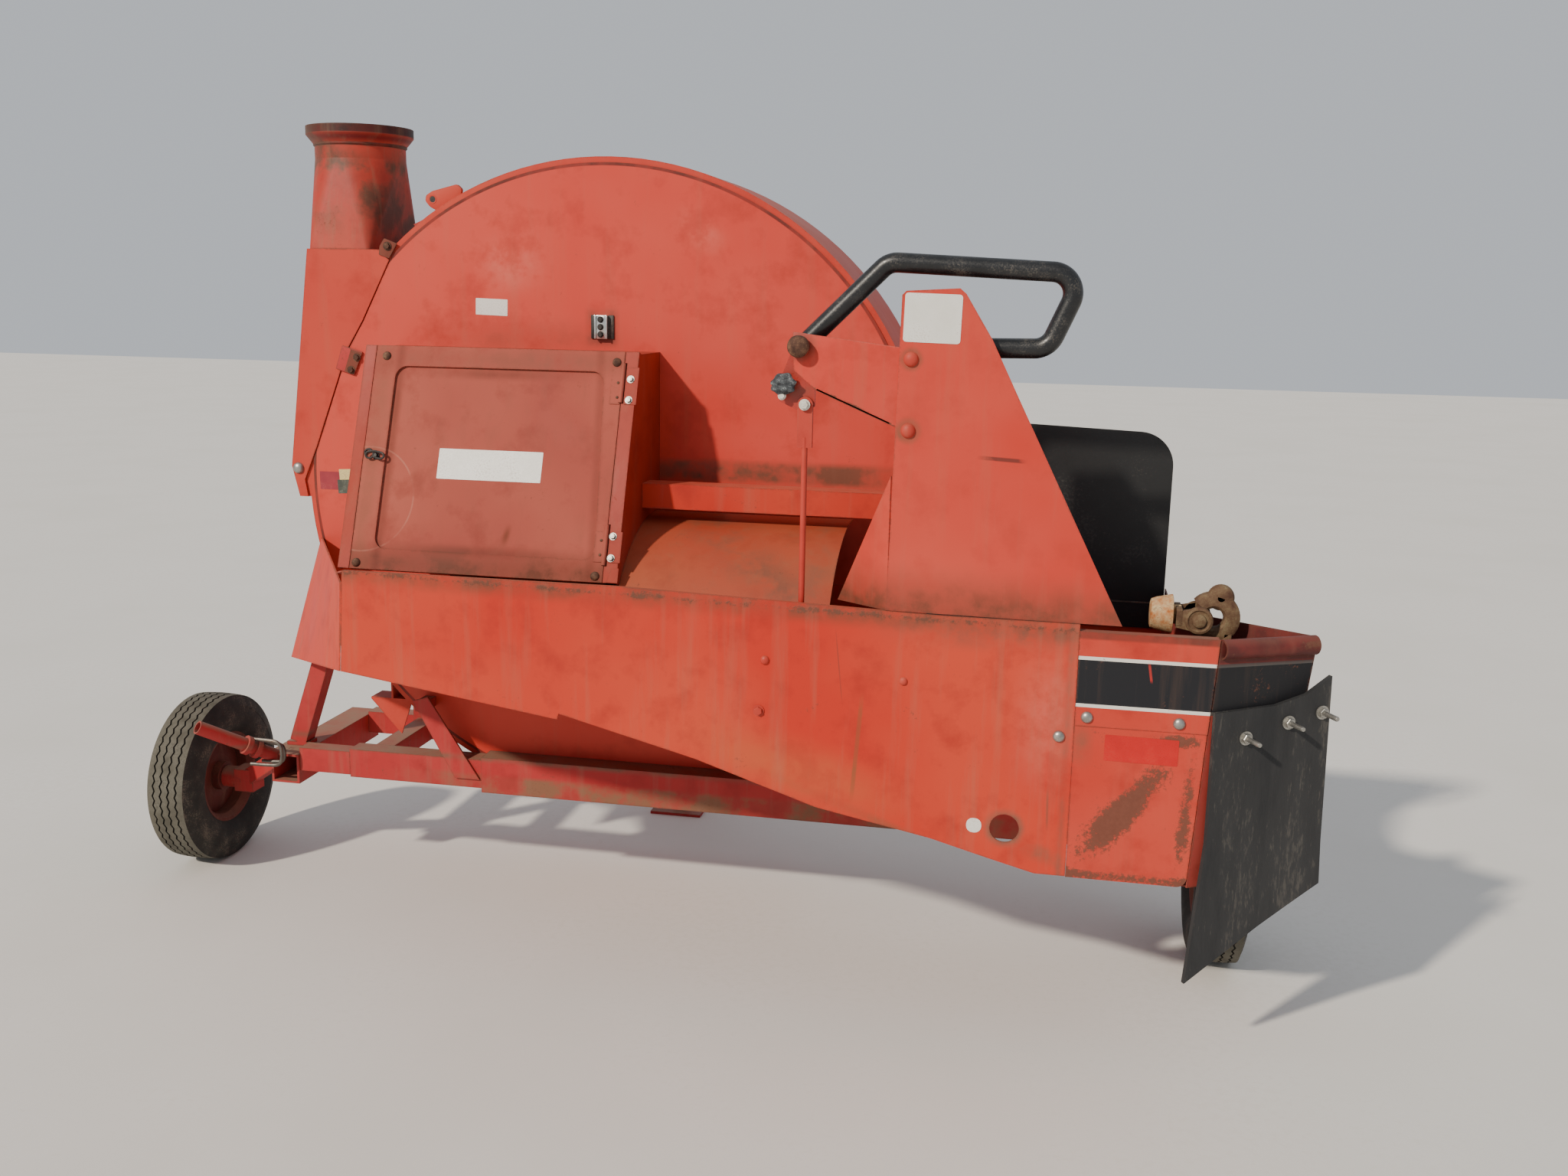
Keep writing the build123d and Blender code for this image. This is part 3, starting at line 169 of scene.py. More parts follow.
# Wide dark stripe between two thin pale ones, by height, on the side that faces the yard
def addStripe(tree, place, colour, stripe):
    at = addNode(tree, "SeparateXYZ", inputs={0: place}).outputs
    normal = addNode(tree, "NewGeometry").outputs["True Normal"]
    facing = addNode(tree, "SeparateXYZ", inputs={0: normal}).outputs[1]
    shown = calc(tree, "MULTIPLY", calc(tree, "LESS_THAN", facing, stripe["facing"]),
                 calc(tree, "LESS_THAN", at[1], spot(0, stripe["front"], 0).y))
    middle, half = (stripe["low"] + stripe["high"]) / 2, (stripe["high"] - stripe["low"]) / 2
    away = calc(tree, "ABSOLUTE", calc(tree, "SUBTRACT", at[2], middle * mm))
    for reach, tone in ((half + stripe["line"], "white"), (half, "black")):
        level = calc(tree, "MULTIPLY", calc(tree, "LESS_THAN", away, reach * mm), shown)
        colour = blend(tree, level, colour, stripe[tone])
    return colour


# Colours, levels, the spans of the noises in which each effect grows, and sizes in millimetres
enamel = {
    "base": "#BA3122", "faded": "#C4503E", "deep": "#9A2218", "rust": "#54362A", "paleRust": "#70483A",
    "dust": "#94705A", "fade": 0.65, "deepLevel": 0.55, "edge": 0.55, "specks": 0.10, "dustTop": 0.35,
    "settle": 2.0, "streaks": 0.25, "rustLevel": 0.92, "rough": 0.5, "dullRange": (-0.08, 0.2),
    "rustRough": 0.86, "shine": 0.3, "fadeSpan": (0.38, 0.66), "deepSpan": (0.50, 0.30),
    "streakSpan": (0.52, 0.74), "upSpan": (0.25, 0.95), "edgeSpan": (0.985, 0.86), "rustSpan": (1.18, 1.42),
    "dullSpan": (0.3, 0.7), "wearGain": 0.62, "wearStart": -0.10, "fadeSize": 420.0, "cloudSize": 90.0,
    "speckSize": 7.0, "streakSize": 29.4118, "streakFall": 0.07, "edgeWidth": 6.0, "relief": 0.35,
    "speckRelief": 0.35, "reliefDepth": 1.2, "bands": [], "washes": [], "stripe": None}


# Alkyd enamel sprayed on sheet steel: chalky where the sun reached it, rusty at edges and seams
def sunFadedEnamel(name, **changes):
    look = {**enamel, **changes}
    material, tree, shader, place = startMaterial(name)
    broad = noiseLevel(tree, place, look["fadeSize"], 3.0)
    cloud = noiseLevel(tree, place, look["cloudSize"], 6.0, 0.62)
    speck = noiseLevel(tree, place, look["speckSize"], 4.0, 0.7)
    falling = stretched(tree, place, (1.0, 1.0, look["streakFall"]))
    streak = noiseLevel(tree, falling, look["streakSize"], 4.0, 0.6)
    # sun fading, darker clouds, the stripe and the marks of use
    colour = blend(tree, ramp(tree, broad, look["fadeSpan"], 0.0, look["fade"]), look["base"], look["faded"])
    colour = blend(tree, ramp(tree, cloud, look["deepSpan"], 0.0, look["deepLevel"]), colour, look["deep"])
    if look["stripe"]:
        colour = addStripe(tree, place, colour, look["stripe"])
    colour = addWashes(tree, place, colour, cloud, look["washes"])
    # rain streaks of road dust, and dust on faces that look up
    colour = blend(tree, ramp(tree, streak, look["streakSpan"], 0.0, look["streaks"]), colour, look["dust"])
    normal = addNode(tree, "NewGeometry").outputs
    upward = addNode(tree, "SeparateXYZ", inputs={0: normal["True Normal"]}).outputs[2]
    level = ramp(tree, upward, look["upSpan"], 0.0, look["dustTop"], smooth=True)
    settled = calc(tree, "MULTIPLY", level, cloud)
    settled = calc(tree, "MINIMUM", calc(tree, "MULTIPLY", settled, look["settle"]), 1.0)
    colour = blend(tree, settled, colour, look["dust"])
    # wear: bare edges, seams and scattered chips, all broken up by the two noises
    soft = addNode(tree, "Bevel", {"samples": 3}, {"Radius": look["edgeWidth"] * mm}).outputs[0]
    agree = vectorCalc(tree, "DOT_PRODUCT", soft, normal["Normal"])
    wear = ramp(tree, agree, look["edgeSpan"], 0.0, look["edge"])
    for band in look["bands"]:
        wear = calc(tree, "MAXIMUM", wear, bandLevel(tree, place, band))
    reach = calc(tree, "MULTIPLY_ADD", wear, look["wearGain"], look["specks"] + look["wearStart"])
    grown = calc(tree, "ADD", calc(tree, "ADD", cloud, speck), reach)
    rusty = ramp(tree, grown, look["rustSpan"], 0.0, look["rustLevel"], smooth=True)
    colour = blend(tree, rusty, colour, blend(tree, speck, look["rust"], look["paleRust"]))
    # chalky paint scatters more than sound paint, rust most of all
    low, high = (look["rough"] + more for more in look["dullRange"])
    dull = ramp(tree, broad, look["dullSpan"], low, high)
    rough = addNode(tree, "Mix", {"data_type": "FLOAT"}, {0: rusty, 2: dull, 3: look["rustRough"]})
    height = calc(tree, "MULTIPLY_ADD", speck, look["speckRelief"], rusty)
    dressShader(tree, shader, colour, rough.outputs[0], height, look["relief"], look["reliefDepth"] * mm)
    shader.inputs["Specular IOR Level"].default_value = look["shine"]
    return material


plainLook = {
    "low": "#202020", "high": "#3A3A3A", "marks": "#6A6258", "markLevel": 0.3, "markSpan": (1.04, 1.26),
    "size": 60.0, "grain": 3.0, "stretch": (1.0, 1.0, 1.0), "toneSpan": (0.35, 0.65), "rough": 0.6,
    "spread": 0.15, "roughSpan": (0.3, 0.7), "metal": 0.0, "bump": 0.2, "depth": 0.6, "specular": 0.5,
    "washes": []}


# One material mottled between two tones, with a third showing in its marks
def wornSurface(name, **changes):
    look = {**plainLook, **changes}
    material, tree, shader, place = startMaterial(name)
    drawn = stretched(tree, place, look["stretch"])
    broad = noiseLevel(tree, drawn, look["size"], 5.0, 0.6)
    fine = noiseLevel(tree, drawn, look["grain"], 3.0, 0.7)
    both = calc(tree, "ADD", broad, fine)
    colour = blend(tree, ramp(tree, broad, look["toneSpan"]), look["low"], look["high"])
    marked = ramp(tree, both, look["markSpan"], 0.0, look["markLevel"], smooth=True)
    colour = blend(tree, marked, colour, look["marks"])
    colour = addWashes(tree, place, colour, broad, look["washes"])
    half = look["spread"] / 2
    rough = ramp(tree, fine, look["roughSpan"], look["rough"] - half, look["rough"] + half)
    dressShader(tree, shader, colour, rough, both, look["bump"], look["depth"] * mm)
    shader.inputs["Metallic"].default_value = look["metal"]
    if look["metal"] == 0.0:
        shader.inputs["Specular IOR Level"].default_value = look["specular"]
    return material


# Where rust gathers: a point, a half width and the way it is measured. With a reach it also ends along
# itself, square to that way if nothing else is given.
def seam(through, half, across=None, **more):
    if not across:
        return {"through": through, "half": half, **more}
    square = {"along": (across[2], 0, -across[0])} if "reach" in more else {}
    return {"through": through, "half": half, "across": across, **square, **more}


# A wash of one colour over the paint, placed like a seam
def mark(colour, through, half, across=None, **more):
    return {**seam(through, half, across, **more), "colour": colour}


drumLook = {"specks": 0.02, "streaks": 0.1, "deep": "#A62818", "fade": 0.5}
drumPaint = sunFadedEnamel("sunFadedDrumEnamel", **drumLook)
onFace = {"into": tractorWay, "depth": 40}
facePaint = sunFadedEnamel("sunFadedDrumFaceEnamel", **drumLook, base="#C43628", faded="#CE584A", washes=[
    mark("#3A1612", (0, 0, 1040), 4.5, ring=748.5, soft=0.4, amount=0.85, broken=0.3),
    mark("#62402F", (400, -4, 1100), 34, upWay, reach=420, soft=0.6, amount=0.9, broken=0.7, **onFace),
    mark("#8A4030", (-200, -4, 1396), 60, upWay, reach=330, amount=0.55, broken=0.7, **onFace),
    mark("#5E3C30", (-6, -4, 1424), 46, alongWay, reach=52, soft=0.5, amount=0.8, broken=0.7, **onFace),
    mark("#D8907E", (-230, -4, 1560), 120, (0.97, 0, 0.25), reach=90, amount=0.25, broken=0.9, **onFace),
    mark("#D8907E", (230, -4, 1640), 50, (0.6, 0, 0.8), reach=90, amount=0.22, broken=0.9, **onFace)])
spoutPaint = sunFadedEnamel(
    "grimyShadedSpoutEnamel", base="#B03426", faded="#B84C3C", deep="#8C241A", specks=0.14, rust="#4E4234",
    dust="#7E6A52", streaks=0.35, washes=[
        mark("#1C1716", (-668, 140, 1876), 15, upWay, soft=0.25, amount=0.96, broken=0.15),
        mark("#5E0E16", (-668, 140, 1853), 14, upWay, amount=0.85, broken=0.1),
        mark("#2E1A16", (-668, 140, 1838), 5, upWay, soft=0.5, amount=0.9, broken=0.3),
        mark("#4E4030", (-668, 140, 1780), 60, upWay, amount=0.9, broken=0.95),
        mark("#54382A", (-600, 60, 1720), 70, (0.7, 0, 0.7), amount=0.9, broken=0.85),
        mark("#5A3A2A", (-668, 140, 1700), 130, upWay, amount=0.5, broken=0.95),
        # dark brown over the spout's right side: grime and painted shade
        mark("#4E2A20", (-560, 100, 1640), 90, alongWay, reach=160, amount=0.9, broken=0.6)])
sheetPaint = sunFadedEnamel("sunFadedSheetEnamel", base="#BC2B19", faded="#C6482F", specks=0.06, bands=[
    seam((0, -500, 906), 14, (0.02, 0, 1), amount=0.5)], washes=[
    mark("#CC7A6A", (1060, -500, 700), 90, alongWay, reach=190, amount=0.4, broken=0.6),
    mark("#B4623A", (560, -500, 560), 90, (0.25, 0, 0.97), reach=330, amount=0.5, broken=0.4),
    mark("#70402E", (0, -500, 903), 34, (0.02, 0, 1), amount=0.85, broken=0.7),
    mark("#74483A", (960, -500, 868), 46, upWay, reach=300, amount=0.8, broken=0.85),
    mark("#70483A", (1096, -500, 640), 12, alongWay, amount=0.6, broken=0.8),
    mark("#7E4E30", (686, -500, 617), 6, (0.9975, 0, -0.0714), reach=130, soft=0.6, amount=0.8, broken=0.4),
    mark("#7A3A2E", (646, -500, 780), 1.6, (0.99, 0, 0.11), reach=90, soft=0.6, amount=0.7),
    mark("#7A4434", (1068, -500, 520), 3, (1, 0, 0.03), along=upWay, reach=50, soft=0.6, amount=0.8,
         broken=0.4),
    mark("#7A5040", (986, -500, 474), 16, ring=30, amount=0.9, broken=0.6),
    mark("#74503E", (1050, -500, 430), 26, (0.3, 0, 0.95), reach=80, amount=0.8, broken=0.9),
    mark("#7C4E36", (800, -500, 440), 16, (0.35, 0, 0.94), reach=420, amount=0.6, broken=0.8)])
upDoor = (0, -0.34, 0.94)
# Dark lines along the edges of the door's pressed panel: painted shade in its creases
embossEdgeShade = {"half": 17, "amount": 0.55, "broken": 0.35, "colour": "#5E2A1E"}
# Door: a darker copy of the red, painted shade against the light its slope catches; its chalky fade and dirt
# bands are real
doorPaint = sunFadedEnamel(
    "chalkyShadedDoorEnamel", base="#984034", faded="#AC5C4E", deep="#7E3026", rough=0.64, shine=0.2, streaks=0.16,
    specks=0.04, dust="#744838", dustTop=0.0, fade=0.8, bands=[
        seam((0, -330, 892), 16, upDoor, amount=0.5)], washes=[
        mark("#5C3426", (-190, -330, 906), 46, upDoor, amount=0.9),
        mark("#7E4638", (-190, -160, 1354), 30, upDoor, amount=0.6, broken=0.8),
        mark("#86503E", (-466, -240, 1130), 36, alongWay, amount=0.5, broken=0.7),
        # painted shade along the pressed panel's left, right, top and bottom edges
        mark(through=(-426, -240, 1130), across=alongWay, **embossEdgeShade),
        mark("#5E2A1E", (60, -240, 1130), 17, (0.998, 0, 0.058), amount=0.35, broken=0.35),
        mark(through=(-185, -187, 1317), across=upWay, reach=250, **embossEdgeShade),
        mark(through=(-185, -325, 938), across=upWay, reach=250, **embossEdgeShade),
        mark("#5E2C14", (-130, -260, 975), 12, (0.98, 0, -0.2), along=upWay, reach=30, amount=0.8, broken=0.2),
        mark("#B87A6A", (-470, -250, 1040), 2.4, ring=112, soft=0.5, amount=0.4, broken=0.9)])
# Inlet box: a darker copy of the red, painted shade for the way light falls on its faces; the dust on its tops
# is real
boxPaint = sunFadedEnamel(
    "dustyShadedBoxEnamel", base="#98281A", faded="#A03C2A", deep="#7E1C12", specks=0.06, streaks=0.16, dustTop=0.1)
towerPaint = sunFadedEnamel(
    "sunFadedTowerEnamel", base="#C03426", faded="#C85242", deep="#B03426", specks=0.03, streaks=0.14, washes=[
        mark("#6E3A2A", (700, -500, 895), 118, (0.03, 0, 1), soft=0.9, broken=0.45),
        mark("#7A4C38", (767, -500, 1389), 11, ring=16, amount=0.8, broken=0.6),
        mark("#7A4C38", (766, -500, 1254), 14, ring=17, amount=0.9, broken=0.4),
        mark("#4E2A24", (948, -500, 1206), 5, (0.05, 0, 1), along=alongWay, reach=52, soft=0.5, amount=0.8,
             broken=0.9)])
bracketPaint = sunFadedEnamel(
    "sunFadedBracketEnamel", base="#C43628", faded="#CE5648", deep="#A62818", specks=0.04, bands=[
        seam((700, -492, 1276), 10, (0.39, 0, 0.92), amount=0.8)], washes=[
        mark("#6E3A2C", (552, -492, 1408), 16, ring=20, amount=0.8, broken=0.4)])
stripe = {"low": 742, "high": 829, "line": 7, "black": "#1A1B20", "white": "#D9D6CE", "front": -404,
          "facing": -0.3}
panelPaint = sunFadedEnamel("stripedPanelEnamel", specks=0.09, streaks=0.1, stripe=stripe, bands=[
    seam((1212, -500, 528), 48, (0.81, 0, -0.59), reach=190, amount=1.3),
    seam((1330, -500, 540), 24, (1, 0, -0.06), along=upWay, reach=190, amount=0.8),
    seam((1300, -500, 678), 24, upWay, reach=80, amount=0.95),
    seam((1250, -500, 392), 22, upWay, amount=0.8)], washes=[
    mark("#5E3026", (1240, -500, 887), 20, upWay, soft=0.3, amount=0.9, broken=0.3),
    mark("#74503E", (1126, -500, 660), 30, alongWay, reach=60, amount=0.6, broken=0.8),
    mark("#B0302A", (1246, -500, 811), 3, (0.98, 0, 0.17), along=upWay, reach=22, soft=0.5, amount=0.9,
         broken=0.3)])
# End wall: a darker red and grey lines in its stripe, painted shade
nosePaint = sunFadedEnamel(
    "shadedStripedEndWallEnamel", base="#96302A", faded="#A24A40", deep="#7E2820", specks=0.12,
    stripe={**stripe, "white": "#4E4C4A", "black": "#1E1E21"}, dustTop=0.1, streaks=0.1, bands=[
        seam((1560, -340, 872), 60, alongWay, reach=20, amount=0.7)], washes=[
        # dark roll along its top: rust, dirt and painted shade together
        mark("#4C2422", (1400, -450, 872), 44, upWay, soft=0.3, amount=0.92, broken=0.3)])
coverPaint = sunFadedEnamel(
    "dustyCoverEnamel", base="#A43A26", faded="#A8502F", deep="#8A3420", dustTop=0.2, dust="#86563E",
    streaks=0.3, washes=[
        mark("#6C4232", (420, -200, 930), 60, (0.5, 0, 0.86), amount=0.8, broken=1.0),
        mark("#7A4A38", (560, -200, 960), 60, alongWay, amount=0.7, broken=0.9)])
framePaint = sunFadedEnamel(
    "dustyFrameEnamel", base="#A62426", faded="#B0403C", deep="#86191A", specks=0.12, dustTop=0.75,
    dust="#86705C", rough=0.55, washes=[
        mark("#765A42", (300, -64, 300), 36, upWay, reach=900, soft=0.4, amount=0.85, broken=0.85),
        mark("#6C5040", (300, -64, 372), 14, upWay, amount=0.8, broken=0.6)])
castPaint = sunFadedEnamel(
    "dirtyCastingEnamel", base="#6E2A20", faded="#7C4636", deep="#4E2018", specks=0.22, rough=0.6)
# Wheel rims: a dull dark red, in part painted shade
wheelPaint = sunFadedEnamel(
    "dullShadedWheelEnamel", base="#5A1E1A", faded="#6E3A30", deep="#3E1613", specks=0.16, rough=0.6)
rustedSteel = wornSurface(
    "rustedSteel", low="#3E2A20", high="#6B4A36", marks="#9A7A5C", markLevel=0.7, size=40.0, grain=2.5,
    rough=0.85, bump=0.6, depth=1.5, specular=0.25)
wornSteel = wornSurface(
    "wornBareSteel", low="#5A5650", high="#7E7870", marks="#6A4632", markLevel=0.6, size=50.0, rough=0.45,
    metal=0.8)
zincBolt = wornSurface(
    "zincPlatedBolt", low="#8E8C86", high="#B4B2AC", marks="#6E5A48", markLevel=0.4, size=14.0, rough=0.38,
    metal=0.85)
barPaint = wornSurface(
    "wornBlackPipePaint", low="#111214", high="#1D1F22", marks="#5A544C", markLevel=0.55, size=45.0,
    rough=0.36, spread=0.25, washes=[
        mark("#A83226", (540, -480, 1310), 92, upWay, reach=140, soft=0.05, broken=0.0),
        mark("#6E4030", (540, -480, 1330), 50, upWay, reach=60, amount=0.6, broken=0.9)])
sheetBlack = wornSurface(
    "satinBlackSheetPaint", low="#131415", high="#1B1C1E", marks="#4A4742", markLevel=0.35, size=180.0,
    grain=6.0, rough=0.5)
flapRubber = wornSurface(
    "dustyBeltingRubber", low="#1F2022", high="#2C2C2D", marks="#56524C", markLevel=0.5, grain=5.0,
    stretch=(1.0, 1.0, 0.18), rough=0.72, bump=0.25)
tyreRubber = wornSurface(
    "dustyTyreRubber", low="#2B2A28", high="#3B3935", marks="#7A7062", markLevel=0.5, size=70.0, grain=4.0,
    rough=0.82, bump=0.3, specular=0.3)
treadRubber = wornSurface(
    "chalkyTreadRubber", low="#4E4B42", high="#67645A", marks="#35322D", markLevel=0.5, size=45.0, rough=0.88,
    bump=0.35, specular=0.25)
whitePlate = wornSurface(
    "plainWhitePlate", low="#DAD8D0", high="#E6E4DE", marks="#A89A86", markLevel=0.4, size=70.0, rough=0.45)
boltPaint = sunFadedEnamel(
    "paintedBoltEnamel", base="#B23428", faded="#C05040", specks=0.06, edge=0.25, dustTop=0.2)
boltRust = wornSurface(
    "rustyBoltHead", low="#3E2820", high="#654636", marks="#86684E", markLevel=0.5, size=16.0, grain=2.0,
    rough=0.8, bump=0.4, depth=0.8, specular=0.3)
boltWhite = wornSurface(
    "whitePaintedBolt", low="#C9C4B8", high="#E2DED4", marks="#8A7A68", markLevel=0.5, size=12.0, rough=0.5)
darkIron = wornSurface(
    "darkWornWire", low="#1C1A19", high="#35302C", marks="#6A5444", markLevel=0.5, size=14.0)
deepTag = wornSurface(
    "deepRedTag", low="#8E2230", high="#9C2A34", marks="#A86058", markLevel=0.4, size=30.0, rough=0.5)
paleTag = wornSurface(
    "paleYellowTag", low="#CDBB78", high="#DCCB8C", marks="#8E7A4C", markLevel=0.4, size=24.0, rough=0.5)
darkTag = wornSurface(
    "darkGreyTag", low="#3A4038", high="#4A5046", marks="#8A8A78", markLevel=0.35, size=24.0, rough=0.5)
brightTag = wornSurface(
    "brightRedReflector", low="#B40A06", high="#C2100A", marks="#B84A38", markLevel=0.2, rough=0.32)
creamRust = wornSurface(
    "flakingCreamPaint", low="#A8622F", high="#C8B48A", marks="#6E4226", markLevel=0.6, size=16.0, rough=0.8,
    bump=0.5, depth=1.2, specular=0.3)
greasyIron = wornSurface(
    "greasyRustedCasting", low="#4C3226", high="#725A42", marks="#827A5C", markLevel=0.45, size=26.0,
    grain=2.5, rough=0.78, bump=0.6, depth=1.5, specular=0.3)
tapeFoil = wornSurface(
    "crumpledDarkTape", low="#1E2226", high="#4C5358", marks="#9AA0A0", markLevel=0.6, size=9.0, grain=2.0,
    rough=0.5, bump=0.8, depth=2.0)
brightPlate = wornSurface(
    "brightPlatedSteel", low="#C4C4C2", high="#E4E4E0", marks="#8A8076", markLevel=0.12, size=24.0, rough=0.2,
    metal=0.9)
print("finishes made")

# finish of each solid; the frame's enamel is on all that aren't named here
nodeFinish = {
    "fan_housing": drumPaint, "face_plate": facePaint, "fan_rotor": castPaint, "fan_shaft": wornSteel,
    "rear_bearing": castPaint, "inlet_box": boxPaint, "inlet_door": doorPaint, "left_sheet": sheetPaint,
    "front_skirt": sheetPaint, "end_panel": panelPaint, "nose_wall": nosePaint, "auger": castPaint,
    "back_sheet": sheetPaint, "auger_cover": coverPaint, "tower_panel": towerPaint, "black_sheet": sheetBlack,
    "feed_bar": barPaint, "link_rod": boltPaint, "shaft_tunnel": sheetPaint, "gearbox": castPaint,
    "driveline": rustedSteel, "drive_plate": rustedSteel, "tyre_left": tyreRubber, "rim_left": wheelPaint,
    "tyre_right": tyreRubber, "rim_right": wheelPaint, "rubber_flap": flapRubber, "spout": spoutPaint}
for name in nodes:
    part = bpy.data.objects[name]
    finish = nodeFinish.get(name, framePaint)
    if not part.material_slots:
        part.data.materials.append(finish)
    for slot in part.material_slots:
        slot.material = finish
print("solids painted", len(nodes))


# Lays a drawing's right, up and outward directions, drawn in millimetres, on the machine
def layOn(at, right, out):
    out = Vector(out).normalized()
    up = out.cross(Vector(right)).normalized()
    turn = Matrix((up.cross(out), up, out)).transposed().to_4x4()
    return Matrix.Translation(spot(*at)) @ turn @ Matrix.Scale(mm, 4)


# Outward-facing place on a sheet that stands square to the yard, at its front
def onFront(x, z, y):
    return layOn((x, y, z), alongWay, yardWay)


# Place on the hidden side, facing the tractor
def onBack(x, z, y):
    return layOn((x, y, z), alongWay, tractorWay)


doorSlope = {"top": 168.0, "topZ": 1370.0, "lean": 0.3629}


# Place on the sloping door: x and z on its slope, and how far it stands off
def onDoor(x, z, off=0.0):
    lean = doorSlope["lean"]
    y = -doorSlope["top"] - (doorSlope["topZ"] - z) * lean
    out = Vector((0, -1, lean)).normalized()
    return layOn((x, y + out.y * off, z + out.z * off), alongWay, out)


# shapes are drawn in millimetres, and points closer than this are welded
weldGap = 0.01


# A shape turned about its upright line, such as a washer or a six-sided head
def turned(rings, steps=24, sweep=math.tau):
    shape = bmesh.new()
    line = [shape.verts.new((radius, 0, height)) for radius, height in rings]
    edges = [shape.edges.new(pair) for pair in zip(line, line[1:])]
    bmesh.ops.spin(shape, geom=line + edges, cent=(0, 0, 0), axis=upWay, angle=sweep, steps=steps,
                   use_merge=sweep == math.tau)
    bmesh.ops.remove_doubles(shape, verts=shape.verts, dist=weldGap)
    if sweep != math.tau:
        bmesh.ops.holes_fill(shape, edges=[e for e in shape.edges if e.is_boundary], sides=0)
    bmesh.ops.recalc_face_normals(shape, faces=shape.faces)
    return shape


# Corners of a rectangle
def rectangle(left, right, low, high):
    return [(left, low), (right, low), (right, high), (left, high)]


# A flat plate with rounded corners, cut from its outline
def cutPlate(corners, thick, rounding=0.0, edge=0.0):
    shape = bmesh.new()
    outline = [shape.verts.new((x, y, 0)) for x, y in corners]
    shape.faces.new(outline)
    if rounding:
        bmesh.ops.bevel(shape, geom=outline, offset=rounding, affect="VERTICES", segments=4, profile=0.5,
                        material=-1)
    grown = bmesh.ops.extrude_face_region(shape, geom=shape.faces[:])["geom"]
    top = [part for part in grown if isinstance(part, bmesh.types.BMVert)]
    bmesh.ops.translate(shape, vec=(0, 0, thick), verts=top)
    bmesh.ops.recalc_face_normals(shape, faces=shape.faces)
    if edge:
        rim = [e for e in shape.edges if all(v in top for v in e.verts)]
        bmesh.ops.bevel(shape, geom=rim, offset=edge, affect="EDGES", segments=2, profile=0.5, material=-1)
    return shape


# A plate whose outline is drawn as the yard sees it, with its place
def facingPlate(look):
    plate = cutPlate(look["outline"], look["thick"], look.get("corner", 0), look.get("edge", 0))
    return plate, onFront(0, 0, look["y"])


# A round rod bent along its points
def bentRod(points, radius):
    curve = bpy.data.curves.new("rodLine", "CURVE")
    curve.dimensions = "3D"
    curve.bevel_depth = radius
    curve.bevel_resolution = 3
    curve.use_fill_caps = True
    line = curve.splines.new("NURBS")
    line.points.add(len(points) - 1)
    for at, point in zip(line.points, points):
        at.co = (*point, 1.0)
    line.order_u = 3
    line.use_endpoint_u = True
    line.resolution_u = 6
    holder = bpy.data.objects.new("rodLine", curve)
    data = bpy.data.meshes.new_from_object(holder)
    shape = bmesh.new()
    shape.from_mesh(data)
    bmesh.ops.remove_doubles(shape, verts=shape.verts, dist=weldGap)
    bmesh.ops.recalc_face_normals(shape, faces=shape.faces)
    bpy.data.objects.remove(holder)
    bpy.data.curves.remove(curve)
    bpy.data.meshes.remove(data)
    return shape


# Puts a shape into a mesh at its place, with one finish or, for None, with its own
def joinShape(mesh, shape, place, finish=0):
    for face in shape.faces:
        face.smooth = True
        if finish is not None:
            face.material_index = finish
    data = bpy.data.meshes.new("joined")
    shape.to_mesh(data)
    shape.free()
    before = len(mesh.verts)
    mesh.from_mesh(data)
    bpy.data.meshes.remove(data)
    mesh.verts.ensure_lookup_table()
    bmesh.ops.transform(mesh, matrix=place, verts=mesh.verts[before:])


# One object from shapes, each with a place and perhaps a finish number; it rides on its body
def makePiece(name, body, finishes, shapes, sharp=32.0, replaced=()):
    mesh = bmesh.new()
    for parts in shapes:
        joinShape(mesh, *parts)
    data = bpy.data.meshes.new(name)
    mesh.to_mesh(data)
    mesh.free()
    data.shade_smooth()
    data.set_sharp_from_angle(angle=math.radians(sharp))
    for finish in finishes:
        data.materials.append(finish)
    piece = bpy.data.objects.new(name, data)
    bpy.context.collection.objects.link(piece)
    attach(piece, body)
    if replaced:
        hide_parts(*replaced)


# bead: distances from the middle and radii; wall: distances from its outer side and radii
tyreLook = {
    "ribs": 5, "groove": 4.6, "grooveSlant": 0.6, "depth": 5.0, "half": 49.0, "crown": 3.0, "sunk": 0.2,
    "teeth": 54, "zigzag": 2.6, "zigzagRadius": 200.0, "plainEdge": 1.0, "chalkDepth": 4.5, "sharp": 28.0,
    "bead": [(46, 117), (49, 122), (56, 130), (60, 140), (60.6, 142), (60.6, 148)],
    "wall": [(0.3, 152), (0.1, 164), (1.2, 178), (3.0, 186), (2.4, 188), (3.6, 192), (7, 202), (10.4, 209)],
    "shoulder": (0.6, 214.5)}


